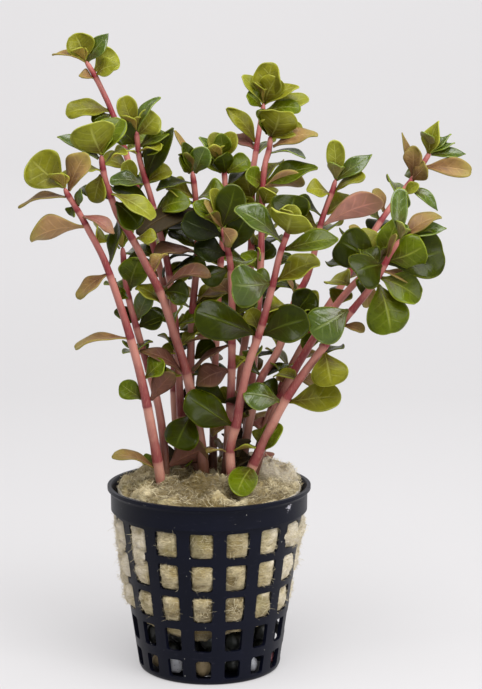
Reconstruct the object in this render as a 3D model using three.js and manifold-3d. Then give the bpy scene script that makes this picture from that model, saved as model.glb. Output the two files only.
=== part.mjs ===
// Rotala indica in a net pot: black basket, stone wool plug, pebbles, pink stems and small round leaves.
// Millimetres, +Z up. The origin is the middle of the pot's underside, and -Y is the front.
import * as THREE from "three";
import { mergeVertices } from "three/addons/utils/BufferGeometryUtils.js";
import Module from "manifold-3d";

const wasm = await Module();
wasm.setup();

// Net pot
const POT_HEIGHT = 45.94;
const LIP_RADIUS = 25;
const LIP_HEIGHT = 1.2;
const BAND_RADIUS = 24.15;
const BAND_BOTTOM = 40;
const BAND_SEGMENTS = 32;
const FOOT_RADIUS = 17.39;
const CONE_TOP_RADIUS = 24.09;
const POT_WALL = 1;
const FOOT_ROUND = 1;
const LIP_SLOPE = 0.4;
const JOIN_OVERLAP = 0.6;
const COLUMNS = 16;
const RIB_WIDTH = 3.2;
const FIRST_COLUMN = THREE.MathUtils.degToRad(-3.9);
const COLUMN_ANGLE = (2 * Math.PI) / COLUMNS;
const WINDOW_ROWS = [[38.89, 32.67], [30.75, 24.24], [22.64, 16.28], [14.33, 8.61], [6.24, 1.6]];
const WINDOW_CUT = { inner: -2.2, outer: 1 };
const FLOOR_SLOTS = 8;
const SLOT_WIDTH = 2.4;
const SLOT_INNER = 6.5;
const SLOT_OUTER = 13.5;

// Gaps and thin things
const GAP = 0.32;
const LEAF_THICKNESS = 0.7;
const LEAF_CUP = 0.12;
const BLADE_SKEW = 1.45;
const BLADE_FULLNESS = 0.6;
const STALK_WIDTH = 0.9;
const STEM_SIDES = 6;
const STEM_STEP = 15;
const PLANTED_DEPTH = 4;
const SMOOTHING = 0.04;

// Stone wool: a dome with two mounds on it, and bulges through the upper windows at the left and the right
const WOOL_BOTTOM = 11;
const WOOL_EDGE = 46.6;
const WOOL_ROUND = 1.2;
const WOOL_SEGMENTS = 18;
const WOOL_DOME = { height: 2.2, radius: 22 };
const MOUNDS = [{ x: 16, y: 9, height: 3.2, spread: 80 }, { x: -16, y: 4, height: 0.8, spread: 60 }];
const BULGE = { rows: 3, from: 0.8, root: 3, out: 2.6, less: 0.2, pinch: 0.8 };

// The view that the places of the plant are laid out in: u is millimetres right of the pot's axis and v is
// millimetres above the front edge of its foot, as they are seen from the eye, and y is the depth.
const EYE = new THREE.Vector3(7.84, -505.15, 164.27);
const LOOK_DOWN = THREE.MathUtils.degToRad(9.4);
const VIEW_DISTANCE = 525.9;
const VIEW_CENTRE = { u: 8, v: 85.4 };

// The stems fan out to the front and the back: their depth grows by this share for each millimetre of height.
const FAN_OUT = 0.008;
const FAN_START = 54;

// Colour and roughness
const POT_FINISH = [0x1d1e2b, 0.42];
const WOOL_FINISH = [0xbeb182, 0.95];
const STEM_FINISH = [0xc77f74, 0.45];
const PEBBLE_ROUGHNESS = 0.6;
const LEAF_ROUGHNESS = 0.35;

function seen(u, v, y) {
  const across = u - VIEW_CENTRE.u;
  const rise = v - VIEW_CENTRE.v;
  const ray = new THREE.Vector3(
    across,
    VIEW_DISTANCE * Math.cos(LOOK_DOWN) + rise * Math.sin(LOOK_DOWN),
    rise * Math.cos(LOOK_DOWN) - VIEW_DISTANCE * Math.sin(LOOK_DOWN),
  );
  return EYE.clone().addScaledVector(ray, (y - EYE.y) / ray.y);
}

// Each stem: the points of its line as [u, v, y] from the wool to the tip, its thickness at the foot and at the
// tip, and its leaves. A leaf is [tone, v of its joint on the stem, u of the tip, v of the tip, how much nearer
// (-) or further (+) the tip lies, width, turn, arch]. A turn of 0 shows the upper face to the front, 90 lays
// it flat with the upper face up, and past 90 the underside shows. Arch is the bow of the midrib, as a share of
// the leaf's length. The large leaves are pieces of their own, and the small ones are one with their stem.
const STEMS = [
  {
    girth: [3.0, 1.5],
    line: [
      [-12.1, 51.75, -7], [-15.25, 69.85, -9], [-19.25, 86.75, -11], [-24.75, 102.4, -13],
      [-26.3, 107.25, -13.5], [-29.4, 112.5, -14], [-30.3, 114.5, -14.5], [-33.25, 119.75, -15],
      [-35.1, 122.35, -15.5], [-36.25, 124.75, -16],
    ],
    large: [
      ["o", 124.75, -44.5, 132, -1, 9, 15, 0.05], ["b", 115.1, -44.9, 111.8, -2, 7.5, 130, 0.08],
      ["b", 87.2, -33.85, 84, -2, 6, 68, 0.12],
    ],
    small: [
      ["b", 123.1, -30.3, 133.25, -1, 7, 50, 0.05], ["b", 122.5, -47.9, 120, -2, 6, 75, 0.14],
      ["s", 119.2, -32.1, 124.25, -3, 3, 20, 0.1], ["g", 120.5, -34.5, 117.5, 2, 3, 40, 0.1],
      ["p", 118, -23.5, 113.25, -2, 6, 70, 0.08], ["b", 103.5, -33.1, 96.9, -1, 5, 50, 0.08],
      ["d", 104.2, -22.75, 117, 6, 5.5, 65, -0.06], ["g", 71, -22.2, 75.75, 0, 5, 10, 0.05],
      ["p", 70.5, -9, 78.5, -2, 5.5, 150, 0.05], ["b", 54.5, -24.4, 57.4, -2, 5, 60, 0.1],
      ["g", 55, -16.75, 57.25, 3, 3, 30, 0.05],
    ],
  },
  {
    girth: [2.6, 1.6],
    line: [
      [-11, 54, -3], [-11.1, 59.25, -3], [-12.5, 70.75, -3], [-15, 78.5, -3], [-17.8, 88.5, -3.5],
      [-20.25, 97.1, -4], [-21, 102.5, -4], [-21.65, 110, -4],
    ],
    large: [["g", 97.5, -17.25, 107, -2, 6.5, 20, 0.05]],
    small: [
      ["g", 109, -27.6, 112.5, 1, 4, 45, 0.1], ["g", 110, -21, 116.5, 0, 3.5, 40, 0],
      ["d", 106, -16, 107.25, 0, 4, 60, 0.15], ["s", 90.2, -15, 99.25, -1, 5, 60, 0.05],
      ["d", 89.7, -11.25, 92.5, -1, 5.5, 10, 0.05], ["d", 90.3, -23.6, 94, 0, 4.5, 50, 0.08],
      ["d", 78.6, -11, 81, -1, 5.5, 10, 0.05], ["p", 54.6, -0.6, 59.8, -6, 7, 140, 0.08],
    ],
  },
  {
    girth: [3.2, 1.6],
    line: [
      [-1.25, 53.5, -4], [-2.05, 61.75, -4.5], [-4, 71.25, -5], [-5.5, 78, -6], [-7.75, 85.25, -7],
      [-10.25, 92.75, -8], [-12, 99, -8.7], [-16.5, 106, -9.5], [-18.5, 111.5, -10], [-22.25, 116, -11],
      [-23.5, 119.75, -11.5], [-25.5, 124.75, -12], [-26.4, 128.25, -12.5], [-27, 133, -13],
    ],
    large: [
      ["y", 133, -29.75, 140.6, -4, 10, 10, 0.12], ["y", 123.7, -13.5, 116.75, -4, 6, 60, 0.08],
      ["d", 122, -17.25, 114.75, -1, 7, 10, 0.05], ["p", 99.3, 0.5, 102.75, -3, 6.5, 70, 0.13],
    ],
    small: [
      ["s", 131.5, -38, 137.6, 0, 6, 70, 0.08], ["g", 132.8, -21.75, 142, 4, 7, 30, 0.05],
      ["o", 130.5, -20.25, 133.25, -1, 5, 70, 0.1], ["o", 129, -32, 129, -2, 4, 70, 0.1],
      ["y", 129.5, -26, 120, -5, 5, 10, 0.15], ["o", 112, -13, 113.5, -2, 5, 50, 0.08],
      ["o", 111.5, -22.5, 114.5, 3, 5, 45, 0.08], ["d", 98.7, -5, 97.5, -1, 6, 20, 0.08],
      ["p", 78, -17.35, 84.2, -3, 6, 60, 0.1],
    ],
  },
  {
    girth: [2.6, 1.5],
    line: [
      [-7.25, 55.25, 5], [-8.5, 68, 5.5], [-8.75, 76.5, 5.5], [-8.5, 85.25, 6], [-10.25, 96.5, 6.5],
      [-13, 107, 7], [-15.5, 116, 7.5], [-17.25, 121.5, 8], [-21, 134, 8.5], [-24.4, 144.25, 9],
      [-26.1, 147.5, 9], [-27.65, 151.1, 9], [-29.5, 154.2, 9], [-31, 156.5, 9],
    ],
    large: [["o", 144, -35.9, 143.25, -2, 6.5, 35, 0.08]],
    small: [
      ["o", 156.5, -33.6, 163.2, -1, 7, 5, 0.1], ["s", 156, -25.25, 163.3, 0, 3.5, 55, 0.05],
      ["b", 156, -39.3, 157.9, -1, 6, 80, 0.1], ["y", 153.5, -23.8, 158, 2, 5.5, 25, 0.08],
      ["g", 152.8, -22.4, 155.4, -3, 5.5, 40, 0.08], ["b", 152, -32.6, 152.6, -1, 4, 75, 0.1],
      ["d", 143, -29.25, 141.25, -3, 5, 60, 0.08], ["y", 124, -21, 131.5, -2, 4.5, 10, 0.05],
      ["g", 134, -14, 137, 9, 6.5, 60, 0.1], ["d", 121.5, -24, 124, 9, 6.5, 60, 0.1],
      ["d", 107, -20, 109, 9, 7, 60, 0.1], ["b", 96.5, -3, 98, 9, 7, 70, 0.1],
    ],
  },
  {
    girth: [2.6, 1.5],
    line: [
      [-6, 54.5, 1], [-7, 66.5, 1], [-7.5, 76.5, 1], [-8.25, 89, 1], [-9.75, 102.75, 1], [-11.5, 111, 0.5],
      [-12.9, 114.75, 0], [-14.25, 121.5, 0], [-15.3, 124.5, -0.5], [-17.25, 130.75, -1],
      [-17.75, 134.5, -1.5], [-18.25, 139.25, -2],
    ],
    large: [["d", 126.2, -8.8, 139.5, -2, 6.5, 20, 0.1]],
    small: [
      ["o", 139, -21.25, 147.7, -1, 5.5, 20, 0.05], ["s", 138.6, -11.9, 147.25, 1, 4.5, 55, 0.2],
      ["y", 137.5, -12.85, 143, -1, 6.5, 10, 0.08], ["s", 134.75, -10, 138.25, -1, 5.5, 65, 0.08],
      ["d", 135, -23, 139.5, -2, 6, 20, 0.08], ["o", 133.8, -12, 134.25, -4, 5, 78, 0.1],
      ["o", 133.2, -23.5, 133.5, -4, 5, 82, 0.1], ["o", 126, -9.25, 129, 1, 5, 30, 0.08],
      ["y", 128, -12.75, 133.25, 3, 4.5, 20, 0.05], ["s", 125.5, -24.9, 126.4, -1, 6, 65, 0.08],
      ["d", 120.5, -24.25, 124.5, -2, 6, 45, 0.08], ["d", 58.5, -8.6, 67.75, -7, 9, 10, 0.1],
    ],
  },
  {
    girth: [2.7, 1.6],
    line: [
      [-3.5, 55.25, 3], [-4.75, 66.5, 3], [-4.5, 81, 3], [-4.4, 93.25, 3], [-3.25, 101.5, 3],
      [-2.75, 111.5, 2.5], [-3.25, 121.75, 2], [-4, 127.25, 1], [-4.25, 129, 1],
    ],
    large: [["b", 119.5, -18, 112.75, -11, 6.5, 50, 0.1], ["p", 108.5, -13.15, 108, -9.5, 6.5, 55, 0.12]],
    small: [
      ["b", 128.8, -8.7, 139, -1, 4, 60, 0.05], ["d", 128.5, -6.5, 136, -2, 4, 50, 0.05],
      ["d", 127, -7.25, 132.5, -3, 4.5, 40, 0.08], ["s", 127, -0.75, 134.75, -2, 5.5, 15, 0.05],
      ["d", 126, -13.25, 123.75, -3, 5.5, 70, 0.1], ["o", 121, -13, 119, -3, 6, 50, 0.08],
      ["d", 115, -15, 112.75, 1, 5.5, 65, 0.08], ["d", 108, -11.5, 102, -4, 4.5, 20, 0.1],
      ["y", 105.5, -9.25, 102.5, 2, 5.5, 20, 0.05], ["b", 95.5, 4.5, 98.25, -4, 6, 72, 0.16],
      ["o", 93.5, -1, 88, 1, 4.5, 30, 0.05], ["o", 93, -7.5, 90, 3, 4.5, 40, 0.05],
    ],
  },
  {
    girth: [2.5, 1.5],
    line: [
      [1, 56, 7], [1.25, 71.5, 7.5], [1.75, 89, 8], [3, 106.5, 8], [4, 121.5, 8], [4, 127.5, 8],
      [3.25, 131.5, 8],
    ],
    large: [],
    small: [
      ["b", 127.5, 3.25, 132.75, -4, 5.5, 10, 0.1], ["s", 129, -2.5, 137.5, 0, 5, 50, 0.05],
      ["o", 130, 1, 138.5, 1, 5, 30, 0.05], ["o", 130.5, 6, 138.75, 0, 5, 30, 0.05],
      ["b", 131.5, 3, 138.25, -2, 4.5, 20, 0.05], ["g", 128, -3, 132.5, 1, 5.5, 40, 0.08],
      ["g", 128, 10, 132, 1, 5.5, 40, 0.08], ["g", 118, 9, 121, 7, 7, 60, 0.1],
      ["d", 106, -4, 109, 10, 7, 60, 0.1], ["b", 89, 6, 91, 9, 7, 70, 0.1],
      ["d", 71.5, -4, 74, 9, 6.5, 65, 0.1],
    ],
  },
  {
    girth: [2.7, 1.7],
    line: [
      [4.25, 54, -2], [4.75, 61.5, -2], [5.25, 69, -2.5], [5.6, 74.25, -3], [5.75, 87.5, -3],
      [5.75, 96.5, -3], [5.5, 104.75, -3], [4.75, 109, -3.5], [3.25, 115, -4],
    ],
    large: [["d", 112.3, -6.75, 117, -2, 6.5, 15, 0.08], ["d", 107.5, 9.75, 118, -3, 6.5, 15, 0.05]],
    small: [
      ["d", 114.9, 6.65, 125.6, -2, 7.5, 10, 0.08], ["b", 114.7, 0.75, 124.5, 0, 5, 40, 0.05],
      ["b", 114.5, -1, 121.5, -3, 4.5, 55, 0.05], ["g", 114, -4, 121, -1, 5, 50, 0.08],
      ["b", 113, 6, 109.5, -3, 5.5, 150, 0.05], ["d", 105, -3.5, 105, -2, 6.5, 20, 0.08],
      ["d", 104.5, -1.5, 101, -3, 5.5, 15, 0.08], ["b", 79.5, -3.25, 75.25, -2, 6.5, 20, 0.08],
      ["b", 86.5, -6, 85.75, -1, 5, 80, 0.1], ["b", 86, -4.25, 78.5, -2, 5.5, 55, 0.08],
      ["d", 70.5, -3.5, 75.25, -2, 6, 20, 0.05], ["p", 66, 6.25, 74, -1, 2.5, 20, 0.02],
      ["y", 69, 3.5, 75, 2, 3, 10, 0.02],
    ],
  },
  {
    girth: [2.5, 1.5],
    line: [
      [6.75, 56, 9], [7.25, 65.25, 9.5], [7.75, 80.25, 10], [9.5, 87.75, 10.5], [10.25, 96.5, 11],
      [10.5, 109, 12], [10.75, 121.5, 13], [11, 130, 14], [11.75, 132.9, 14.5], [12.25, 137.75, 15],
      [13.25, 142.75, 15.5], [13.75, 146, 15.5],
    ],
    large: [["o", 135.5, 4.4, 144.5, -1, 6, 30, 0.08]],
    small: [
      ["o", 146, 15.75, 156, -1, 8, 8, 0.08], ["o", 145, 16.75, 152.25, -3, 6.5, 15, 0.08],
      ["o", 145.5, 22.5, 150.1, -1, 5, 40, 0.08], ["y", 145.7, 8.5, 152.9, 0, 4.5, 45, 0.05],
      ["g", 144.5, 9.5, 148.25, -2, 4.5, 40, 0.08], ["g", 143, 23, 144.5, -2, 5.5, 40, 0.1],
      ["y", 143.5, 25, 147, 3, 5.5, 30, 0.08], ["p", 134, 6.5, 138, 2, 5, 50, 0.08],
      ["o", 121, 8.25, 129, -4, 6.5, 10, 0.1], ["y", 121.5, 12, 129, -3, 5.5, 15, 0.05],
      ["g", 133, 16, 136, 9, 7, 60, 0.1], ["d", 121, 4, 124, 10, 7, 60, 0.1],
      ["d", 109, 18, 112, 10, 7.5, 60, 0.1], ["b", 96, 4, 98, 9, 7, 70, 0.1],
      ["d", 87.75, 16, 90, 9, 7, 65, 0.1], ["o", 110, 11.5, 112.5, -3, 4, 20, 0.05],
      ["b", 63.5, 15.9, 68.25, 0, 5, 55, 0.08], ["d", 65, 12, 70, 0, 5, 50, 0.08],
    ],
  },
  {
    girth: [2.6, 1.6],
    line: [
      [8.5, 56, 4.7], [9.5, 65.25, 5.5], [10.75, 76.5, 6], [12, 89, 6.5], [12.75, 101.5, 7],
      [13.25, 114, 7.5], [13.35, 128.25, 8], [14.5, 132, 8], [15.25, 134.75, 8], [15.25, 137.75, 8],
    ],
    large: [
      ["o", 136.5, 17.75, 143.75, -4, 9.5, 5, 0.12], ["b", 134.75, 27.3, 138, -2, 7, 62, 0.1],
      ["g", 125.7, 27.15, 130, -2, 7, 50, 0.08],
    ],
    small: [
      ["y", 137.75, 21, 143.5, 1, 4, 30, 0.05], ["d", 136.5, 12.25, 144.25, 0, 4.5, 35, 0.05],
      ["o", 137, 23.5, 140, 1, 4.5, 30, 0.08], ["s", 133.5, 24.25, 132.25, -3, 5.5, 70, 0.1],
      ["b", 125.2, 24, 127.5, -5, 6.5, 125, 0.08], ["g", 125.5, 9, 128, -4, 5.5, 40, 0.08],
      ["y", 120, 15, 124, -4, 5, 20, 0.05], ["y", 119, 17, 120, -3, 5, 30, 0.08],
      ["o", 108, 13, 108, -3, 3.5, 20, 0.05],
    ],
  },
  {
    girth: [2.9, 1.6],
    line: [
      [5.5, 54, -6.5], [5.1, 59, -6.5], [6, 63, -7], [7.25, 66.5, -7.5], [7.4, 70.25, -8], [8.6, 74.5, -8.5],
      [9.5, 80, -9], [11.9, 86, -10], [13.5, 91, -11], [16, 100.75, -12.5], [17.1, 105.25, -13.2],
      [17.75, 108.5, -13.8], [19, 111.25, -14.2], [20, 115, -14.6],
    ],
    large: [
      ["d", 115, 21.75, 122.75, 2, 9.5, 10, 0.08], ["y", 112.5, 20.5, 118.25, -6, 10, 25, 0.12],
      ["s", 100.75, 5.45, 100.5, -4, 9.5, 10, 0.1], ["o", 101, 27.75, 106.25, -1, 7, 45, 0.08],
      ["d", 87.7, -3.5, 94, -3, 9, 15, 0.1], ["d", 87.5, 25.25, 92, -2, 8.5, 10, 0.08],
      ["d", 64.75, -5.6, 72.75, -3, 8.5, 10, 0.1],
    ],
    small: [
      ["y", 115, 20.5, 120.5, -1, 5, 10, 0.05], ["s", 110.7, 6.2, 119.4, -2, 7, 58, 0.06],
      ["o", 109, 32.4, 112.1, -1, 7, 50, 0.08], ["o", 90, 17.5, 94.5, 3, 4.5, 20, 0.05],
      ["o", 88.5, 9.75, 94.25, 2, 4.5, 15, 0.05], ["o", 58.8, 11.5, 59.5, -3, 4.5, 80, 0.05],
      ["b", 58.8, -0.5, 58.5, -3, 5, 80, 0.08],
    ],
  },
  {
    girth: [2.7, 1.5],
    line: [
      [8.5, 55.5, 0.5], [9.5, 64, 0.5], [12.25, 75.5, 1], [13.75, 78.25, 1], [16.5, 82.25, 1.5],
      [18.25, 86, 2], [21.25, 96, 2.5], [22.5, 99, 3], [25.25, 102.5, 3], [27, 112.5, 3.5],
      [28.2, 116.25, 3.5], [29.45, 120.5, 4], [30.5, 122.5, 4], [31.75, 127, 4],
    ],
    large: [["p", 115, 43.5, 121.6, -2, 7.5, 125, 0.08]],
    small: [
      ["o", 127, 30, 136.25, -1, 5.5, 20, 0.05], ["s", 126.5, 40.75, 133, 1, 6, 45, 0.08],
      ["o", 123, 24, 123.5, -3, 7, 35, 0.08], ["o", 123.5, 39.25, 127.5, -2, 6.5, 40, 0.1],
      ["o", 114.5, 21, 117, -1, 6, 50, 0.08], ["d", 91, 25.75, 99, -1, 7, 10, 0.05],
      ["g", 112.5, 32, 115, 9, 7, 60, 0.1], ["d", 99, 15, 101, 9, 7, 60, 0.1],
      ["b", 86, 22, 88, 9, 7, 70, 0.1],
    ],
  },
  {
    girth: [2.6, 1.5],
    line: [
      [11.5, 55.5, 2.6], [14, 65.25, 3.6], [18.25, 75.25, 4.5], [24, 86.5, 5], [31.5, 97.25, 6],
      [34.5, 102.75, 6.5], [39, 110.25, 7], [43.65, 117.5, 8], [47, 121.75, 8.5], [50.75, 126.5, 9],
      [54.4, 131.75, 9.5], [55.25, 134, 10],
    ],
    large: [],
    small: [
      ["o", 132, 57.2, 141.25, -1, 5.5, 20, 0.05], ["s", 133.5, 61.5, 135.9, 0, 2.5, 50, 0.02],
      ["s", 133.5, 60.4, 138.4, 1, 2.5, 40, 0.02], ["s", 133, 64.25, 133.1, 0, 4, 65, 0.05],
      ["b", 129.8, 65.7, 128.75, -2, 6.5, 50, 0.08], ["b", 126.5, 50.9, 135, -1, 5.5, 25, 0.05],
      ["b", 126, 54.25, 130.25, -4, 5, 20, 0.05], ["s", 127, 48.4, 138.5, 1, 2, 60, 0.02],
      ["s", 120.5, 49.75, 122.5, -4, 5, 10, 0.05], ["y", 122.5, 52.5, 125.5, -2, 3, 40, 0.05],
      ["s", 125, 57.4, 119, -2, 4, 50, 0.15], ["s", 116.5, 37.7, 121.1, -1, 4.5, 50, 0.08],
      ["b", 118, 41, 124.25, -1, 4, 50, 0.1], ["g", 122, 46, 126, 9, 6.5, 60, 0.1],
      ["d", 110, 34, 113, 9, 7, 60, 0.1], ["b", 102, 41, 103, 9, 7, 70, 0.1],
    ],
  },
  {
    girth: [2.9, 1.7],
    line: [
      [11.75, 55, -1.5], [14, 62, -1.5], [17, 70.25, -2], [20.6, 78, -2], [25.5, 85.6, -2.5],
      [32.75, 97.5, -3], [39.75, 103.5, -3.5], [42.75, 106, -4],
    ],
    large: [["d", 105.3, 32.25, 111.5, -3, 9.5, 5, 0.1]],
    small: [
      ["o", 106, 38.25, 114.5, 3, 6, 20, 0.08], ["b", 106, 35.25, 115.5, 4, 4.5, 40, 0.05],
      ["g", 106, 47.25, 117.25, 0, 6, 15, 0.05], ["b", 103, 39.5, 94.5, 1, 4, 40, 0.05],
      ["b", 78, 26.5, 75.5, 1, 4.5, 60, 0.08], ["d", 72, 13.25, 75.75, 1, 5.5, 40, 0.08],
      ["b", 75, 17.75, 78.25, 0, 2.8, 15, 0],
    ],
  },
  {
    girth: [3.0, 1.6],
    line: [
      [10.9, 55, -6], [13.5, 60.75, -6], [16.9, 67.5, -6.5], [18.4, 70.6, -7], [23.75, 78.5, -8],
      [29.25, 85.25, -8.5], [36, 94.75, -9.5], [41.5, 100.25, -10.5], [44, 106, -11], [46.5, 109.5, -11],
      [48, 112, -11],
    ],
    large: [
      ["d", 105.5, 59, 109, 0, 10.5, 5, 0.08], ["d", 105.5, 36.5, 103.5, -6, 9.5, 15, 0.1],
      ["g", 101.5, 45.5, 87.75, -3, 9.5, 10, 0.12], ["g", 102.5, 52.75, 96.5, -1, 7, 15, 0.1],
      ["s", 94.75, 25.25, 88.5, -3, 9, 15, 0.1], ["o", 84.5, 30.75, 75, -3, 8.5, 10, 0.12],
      ["o", 71, 33.15, 72.25, -2, 7.5, 20, 0.08], ["s", 71, 8.65, 73.25, -3, 7, 15, 0.08],
    ],
    small: [
      ["g", 106, 54, 110.25, -3, 8.5, 5, 0.08], ["b", 106, 47, 113, -4, 2.5, 50, 0.02],
      ["s", 111.8, 59.5, 114.5, 1, 4.5, 50, 0.05], ["b", 112, 58, 117.75, 2, 6.5, 45, 0.08],
      ["s", 112, 47, 124.75, 3, 4.5, 10, 0.05], ["b", 104, 51.5, 101.5, 1, 4, 60, 0.05],
      ["b", 90.5, 39, 88.75, -1, 3.5, 50, 0.05], ["o", 56.5, 18, 65.5, -1, 6, 25, 0.08],
      ["o", 57.5, 13.75, 64.5, 2, 4.5, 30, 0.05], ["y", 55.2, 5.75, 49.75, -6, 7, 40, 0.15],
    ],
  },
];

// Pebbles: centre x, y, z and half sizes, in the foot of the pot or pressed into the underside of the wool
const PEBBLES = [
  [-8.2, -11.2, 3.3, 1.9, 1.7, 2.2], [-1.4, -13.6, 3.2, 1.9, 1.6, 2.1], [10.6, -9.6, 3.1, 1.3, 1.3, 1.8],
  [14.1, -3.4, 2.7, 1.1, 1.1, 1.4], [6, -13.6, 9.9, 2, 1.4, 2.2], [-13.6, -8.2, 10.4, 1.6, 1.4, 2.6],
  [-12.6, -6, 2.9, 1.4, 1.3, 1.8], [3, 10.5, 3.2, 2.2, 1.9, 2],
];
const PEBBLE_COLOURS = [0xb4b6c0, 0x8f8268, 0xb9bab8, 0xb06a72, 0x3d453c, 0x232b22, 0x9a8d72, 0x8a8a86];
const LEAF_COLOURS = {
  d: 0x2c3d17, g: 0x55702a, o: 0x77772f, y: 0x8f9a45, b: 0x6d4a32, p: 0x8a5c50, s: 0x74846a,
};

// Solids and meshes

function toSolid(geometry) {
  geometry.deleteAttribute("normal");
  geometry.deleteAttribute("uv");
  const merged = mergeVertices(geometry, 1e-4);
  return new wasm.Manifold(new wasm.Mesh({
    numProp: 3,
    vertProperties: new Float32Array(merged.attributes.position.array),
    triVerts: new Uint32Array(merged.index.array),
  }));
}

function toMesh(name, solid, [colour, roughness]) {
  const { vertProperties, triVerts } = solid.getMesh();
  const geometry = new THREE.BufferGeometry();
  geometry.setAttribute("position", new THREE.BufferAttribute(new Float32Array(vertProperties), 3));
  geometry.setIndex(new THREE.BufferAttribute(new Uint32Array(triVerts), 1));
  geometry.computeVertexNormals();
  const material = new THREE.MeshStandardMaterial({ color: colour, roughness, metalness: 0 });
  const mesh = new THREE.Mesh(geometry, material);
  mesh.name = name;
  return mesh;
}

const union = (solids) => wasm.Manifold.union(solids);

function largest(solid) {
  return solid.decompose().reduce((a, b) => (b.volume() > a.volume() ? b : a));
}

const plain = (solid) => solid.asOriginal().simplify(SMOOTHING);

function movePoints(geometry, move) {
  const at = geometry.attributes.position;
  const point = new THREE.Vector3();
  for (let i = 0; i < at.count; i += 1) {
    point.fromBufferAttribute(at, i);
    at.setXYZ(i, ...move(point).toArray());
  }
  return geometry;
}

function turned(profile, segments, start) {
  const points = profile.map(([r, z]) => new THREE.Vector2(r, z));
  return new THREE.LatheGeometry(points, segments, start).rotateX(Math.PI / 2);
}

// Net pot: a cone with one flat for each column of windows, and a round band with a lip on top

const coneRadius = (z) => FOOT_RADIUS + ((CONE_TOP_RADIUS - FOOT_RADIUS) * z) / POT_HEIGHT;

function netPot() {
  const coneTop = BAND_BOTTOM - JOIN_OVERLAP;
  const outside = coneRadius(coneTop);
  const inside = outside - POT_WALL;
  const cone = toSolid(turned([
    [0, 0], [FOOT_RADIUS - FOOT_ROUND, 0], [FOOT_RADIUS, FOOT_ROUND], [outside, coneTop],
    [outside, BAND_BOTTOM + JOIN_OVERLAP], [inside, BAND_BOTTOM + JOIN_OVERLAP],
    [inside, coneTop], [coneRadius(POT_WALL) - POT_WALL, POT_WALL], [0, POT_WALL],
  ], COLUMNS, FIRST_COLUMN - COLUMN_ANGLE / 2));
  const lipBottom = POT_HEIGHT - LIP_HEIGHT;
  const bandInside = outside - JOIN_OVERLAP;
  const band = toSolid(turned([
    [bandInside, BAND_BOTTOM], [BAND_RADIUS, BAND_BOTTOM], [BAND_RADIUS, lipBottom],
    [LIP_RADIUS, lipBottom + LIP_SLOPE], [LIP_RADIUS, POT_HEIGHT], [BAND_RADIUS - POT_WALL, POT_HEIGHT],
    [bandInside, BAND_BOTTOM],
  ], BAND_SEGMENTS, FIRST_COLUMN));
  const cutters = [];
  for (let column = 0; column < COLUMNS; column += 1) {
    const angle = FIRST_COLUMN + column * COLUMN_ANGLE;
    for (const row of WINDOW_ROWS) cutters.push(windowBlock(angle, row, 0, WINDOW_CUT));
  }
  for (let slot = 0; slot < FLOOR_SLOTS; slot += 1) {
    const block = new THREE.BoxGeometry(SLOT_WIDTH, SLOT_OUTER - SLOT_INNER, 4 * POT_WALL);
    block.translate(0, -(SLOT_INNER + SLOT_OUTER) / 2, 0);
    cutters.push(toSolid(block.rotateZ((slot * 2 * Math.PI) / FLOOR_SLOTS)));
  }
  return cone.add(band).subtract(union(cutters));
}

// A block through one window of the wall, less a margin, from one distance off the wall to another, with its
// outer face pinched to a share of its size
function windowBlock(angle, [top, bottom], margin, { inner, outer, pinch = 1 }) {
  const middle = (top + bottom) / 2;
  const block = movePoints(new THREE.BoxGeometry(2, 2, 2), ({ x, y, z }) => {
    const height = z > 0 ? top - margin : bottom + margin;
    const halfWidth = (coneRadius(height) * COLUMN_ANGLE - RIB_WIDTH) / 2 - margin;
    const shrink = y < 0 ? pinch : 1;
    const rise = middle + (height - middle) * shrink;
    return new THREE.Vector3(x * halfWidth * shrink, -(coneRadius(rise) + (y < 0 ? outer : inner)), rise);
  });
  return toSolid(block.rotateZ(angle));
}

// Stems

const fannedLine = (stem) => stem.line.map(([u, v, y]) => [u, v, y * (1 + FAN_OUT * (v - FAN_START))]);

function stemCurve(stem) {
  const points = fannedLine(stem).map((point) => seen(...point));
  const down = points[0].clone().sub(points[1]).normalize();
  const root = points[0].clone().addScaledVector(down, PLANTED_DEPTH);
  return new THREE.CatmullRomCurve3([root, ...points], false, "catmullrom");
}

const stemSection = new THREE.Shape(Array.from({ length: STEM_SIDES }, (_, i) => {
  const angle = (2 * Math.PI * i) / STEM_SIDES;
  return new THREE.Vector2(Math.cos(angle), Math.sin(angle));
}));

function stemTube(stem, grow) {
  const curve = stemCurve(stem);
  const steps = Math.round(curve.getLength() / STEM_STEP);
  const rings = curve.getSpacedPoints(steps);
  const tube = new THREE.ExtrudeGeometry(stemSection, { steps, extrudePath: curve, bevelEnabled: false });
  const [foot, tip] = stem.girth;
  return toSolid(movePoints(tube, (point) => {
    const distances = rings.map((ring) => ring.distanceTo(point));
    const nearest = distances.indexOf(Math.min(...distances));
    const radius = THREE.MathUtils.lerp(foot, tip, nearest / steps) / 2 + grow;
    return point.clone().sub(rings[nearest]).setLength(radius).add(rings[nearest]);
  }));
}

function onStem(stem, height) {
  const line = fannedLine(stem);
  let i = 0;
  while (i < line.length - 2 && line[i + 1][1] < height) i += 1;
  const share = THREE.MathUtils.clamp((height - line[i][1]) / (line[i + 1][1] - line[i][1]), 0, 1);
  const [u, v, y] = [0, 1, 2].map((k) => THREE.MathUtils.lerp(line[i][k], line[i + 1][k], share));
  const along = seen(...line[i + 1]).sub(seen(...line[i])).normalize();
  return { place: seen(u, v, y), y, along };
}

// Leaves: a low sphere pressed to a blade with a narrow foot. With four sides its section is a flat lozenge,
// and with three it is flat above with a keel below. A leaf that is a piece of its own starts clear of the stem.

const bladeOutline = (along) => Math.sin(Math.PI * along ** BLADE_SKEW) ** BLADE_FULLNESS;

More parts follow.
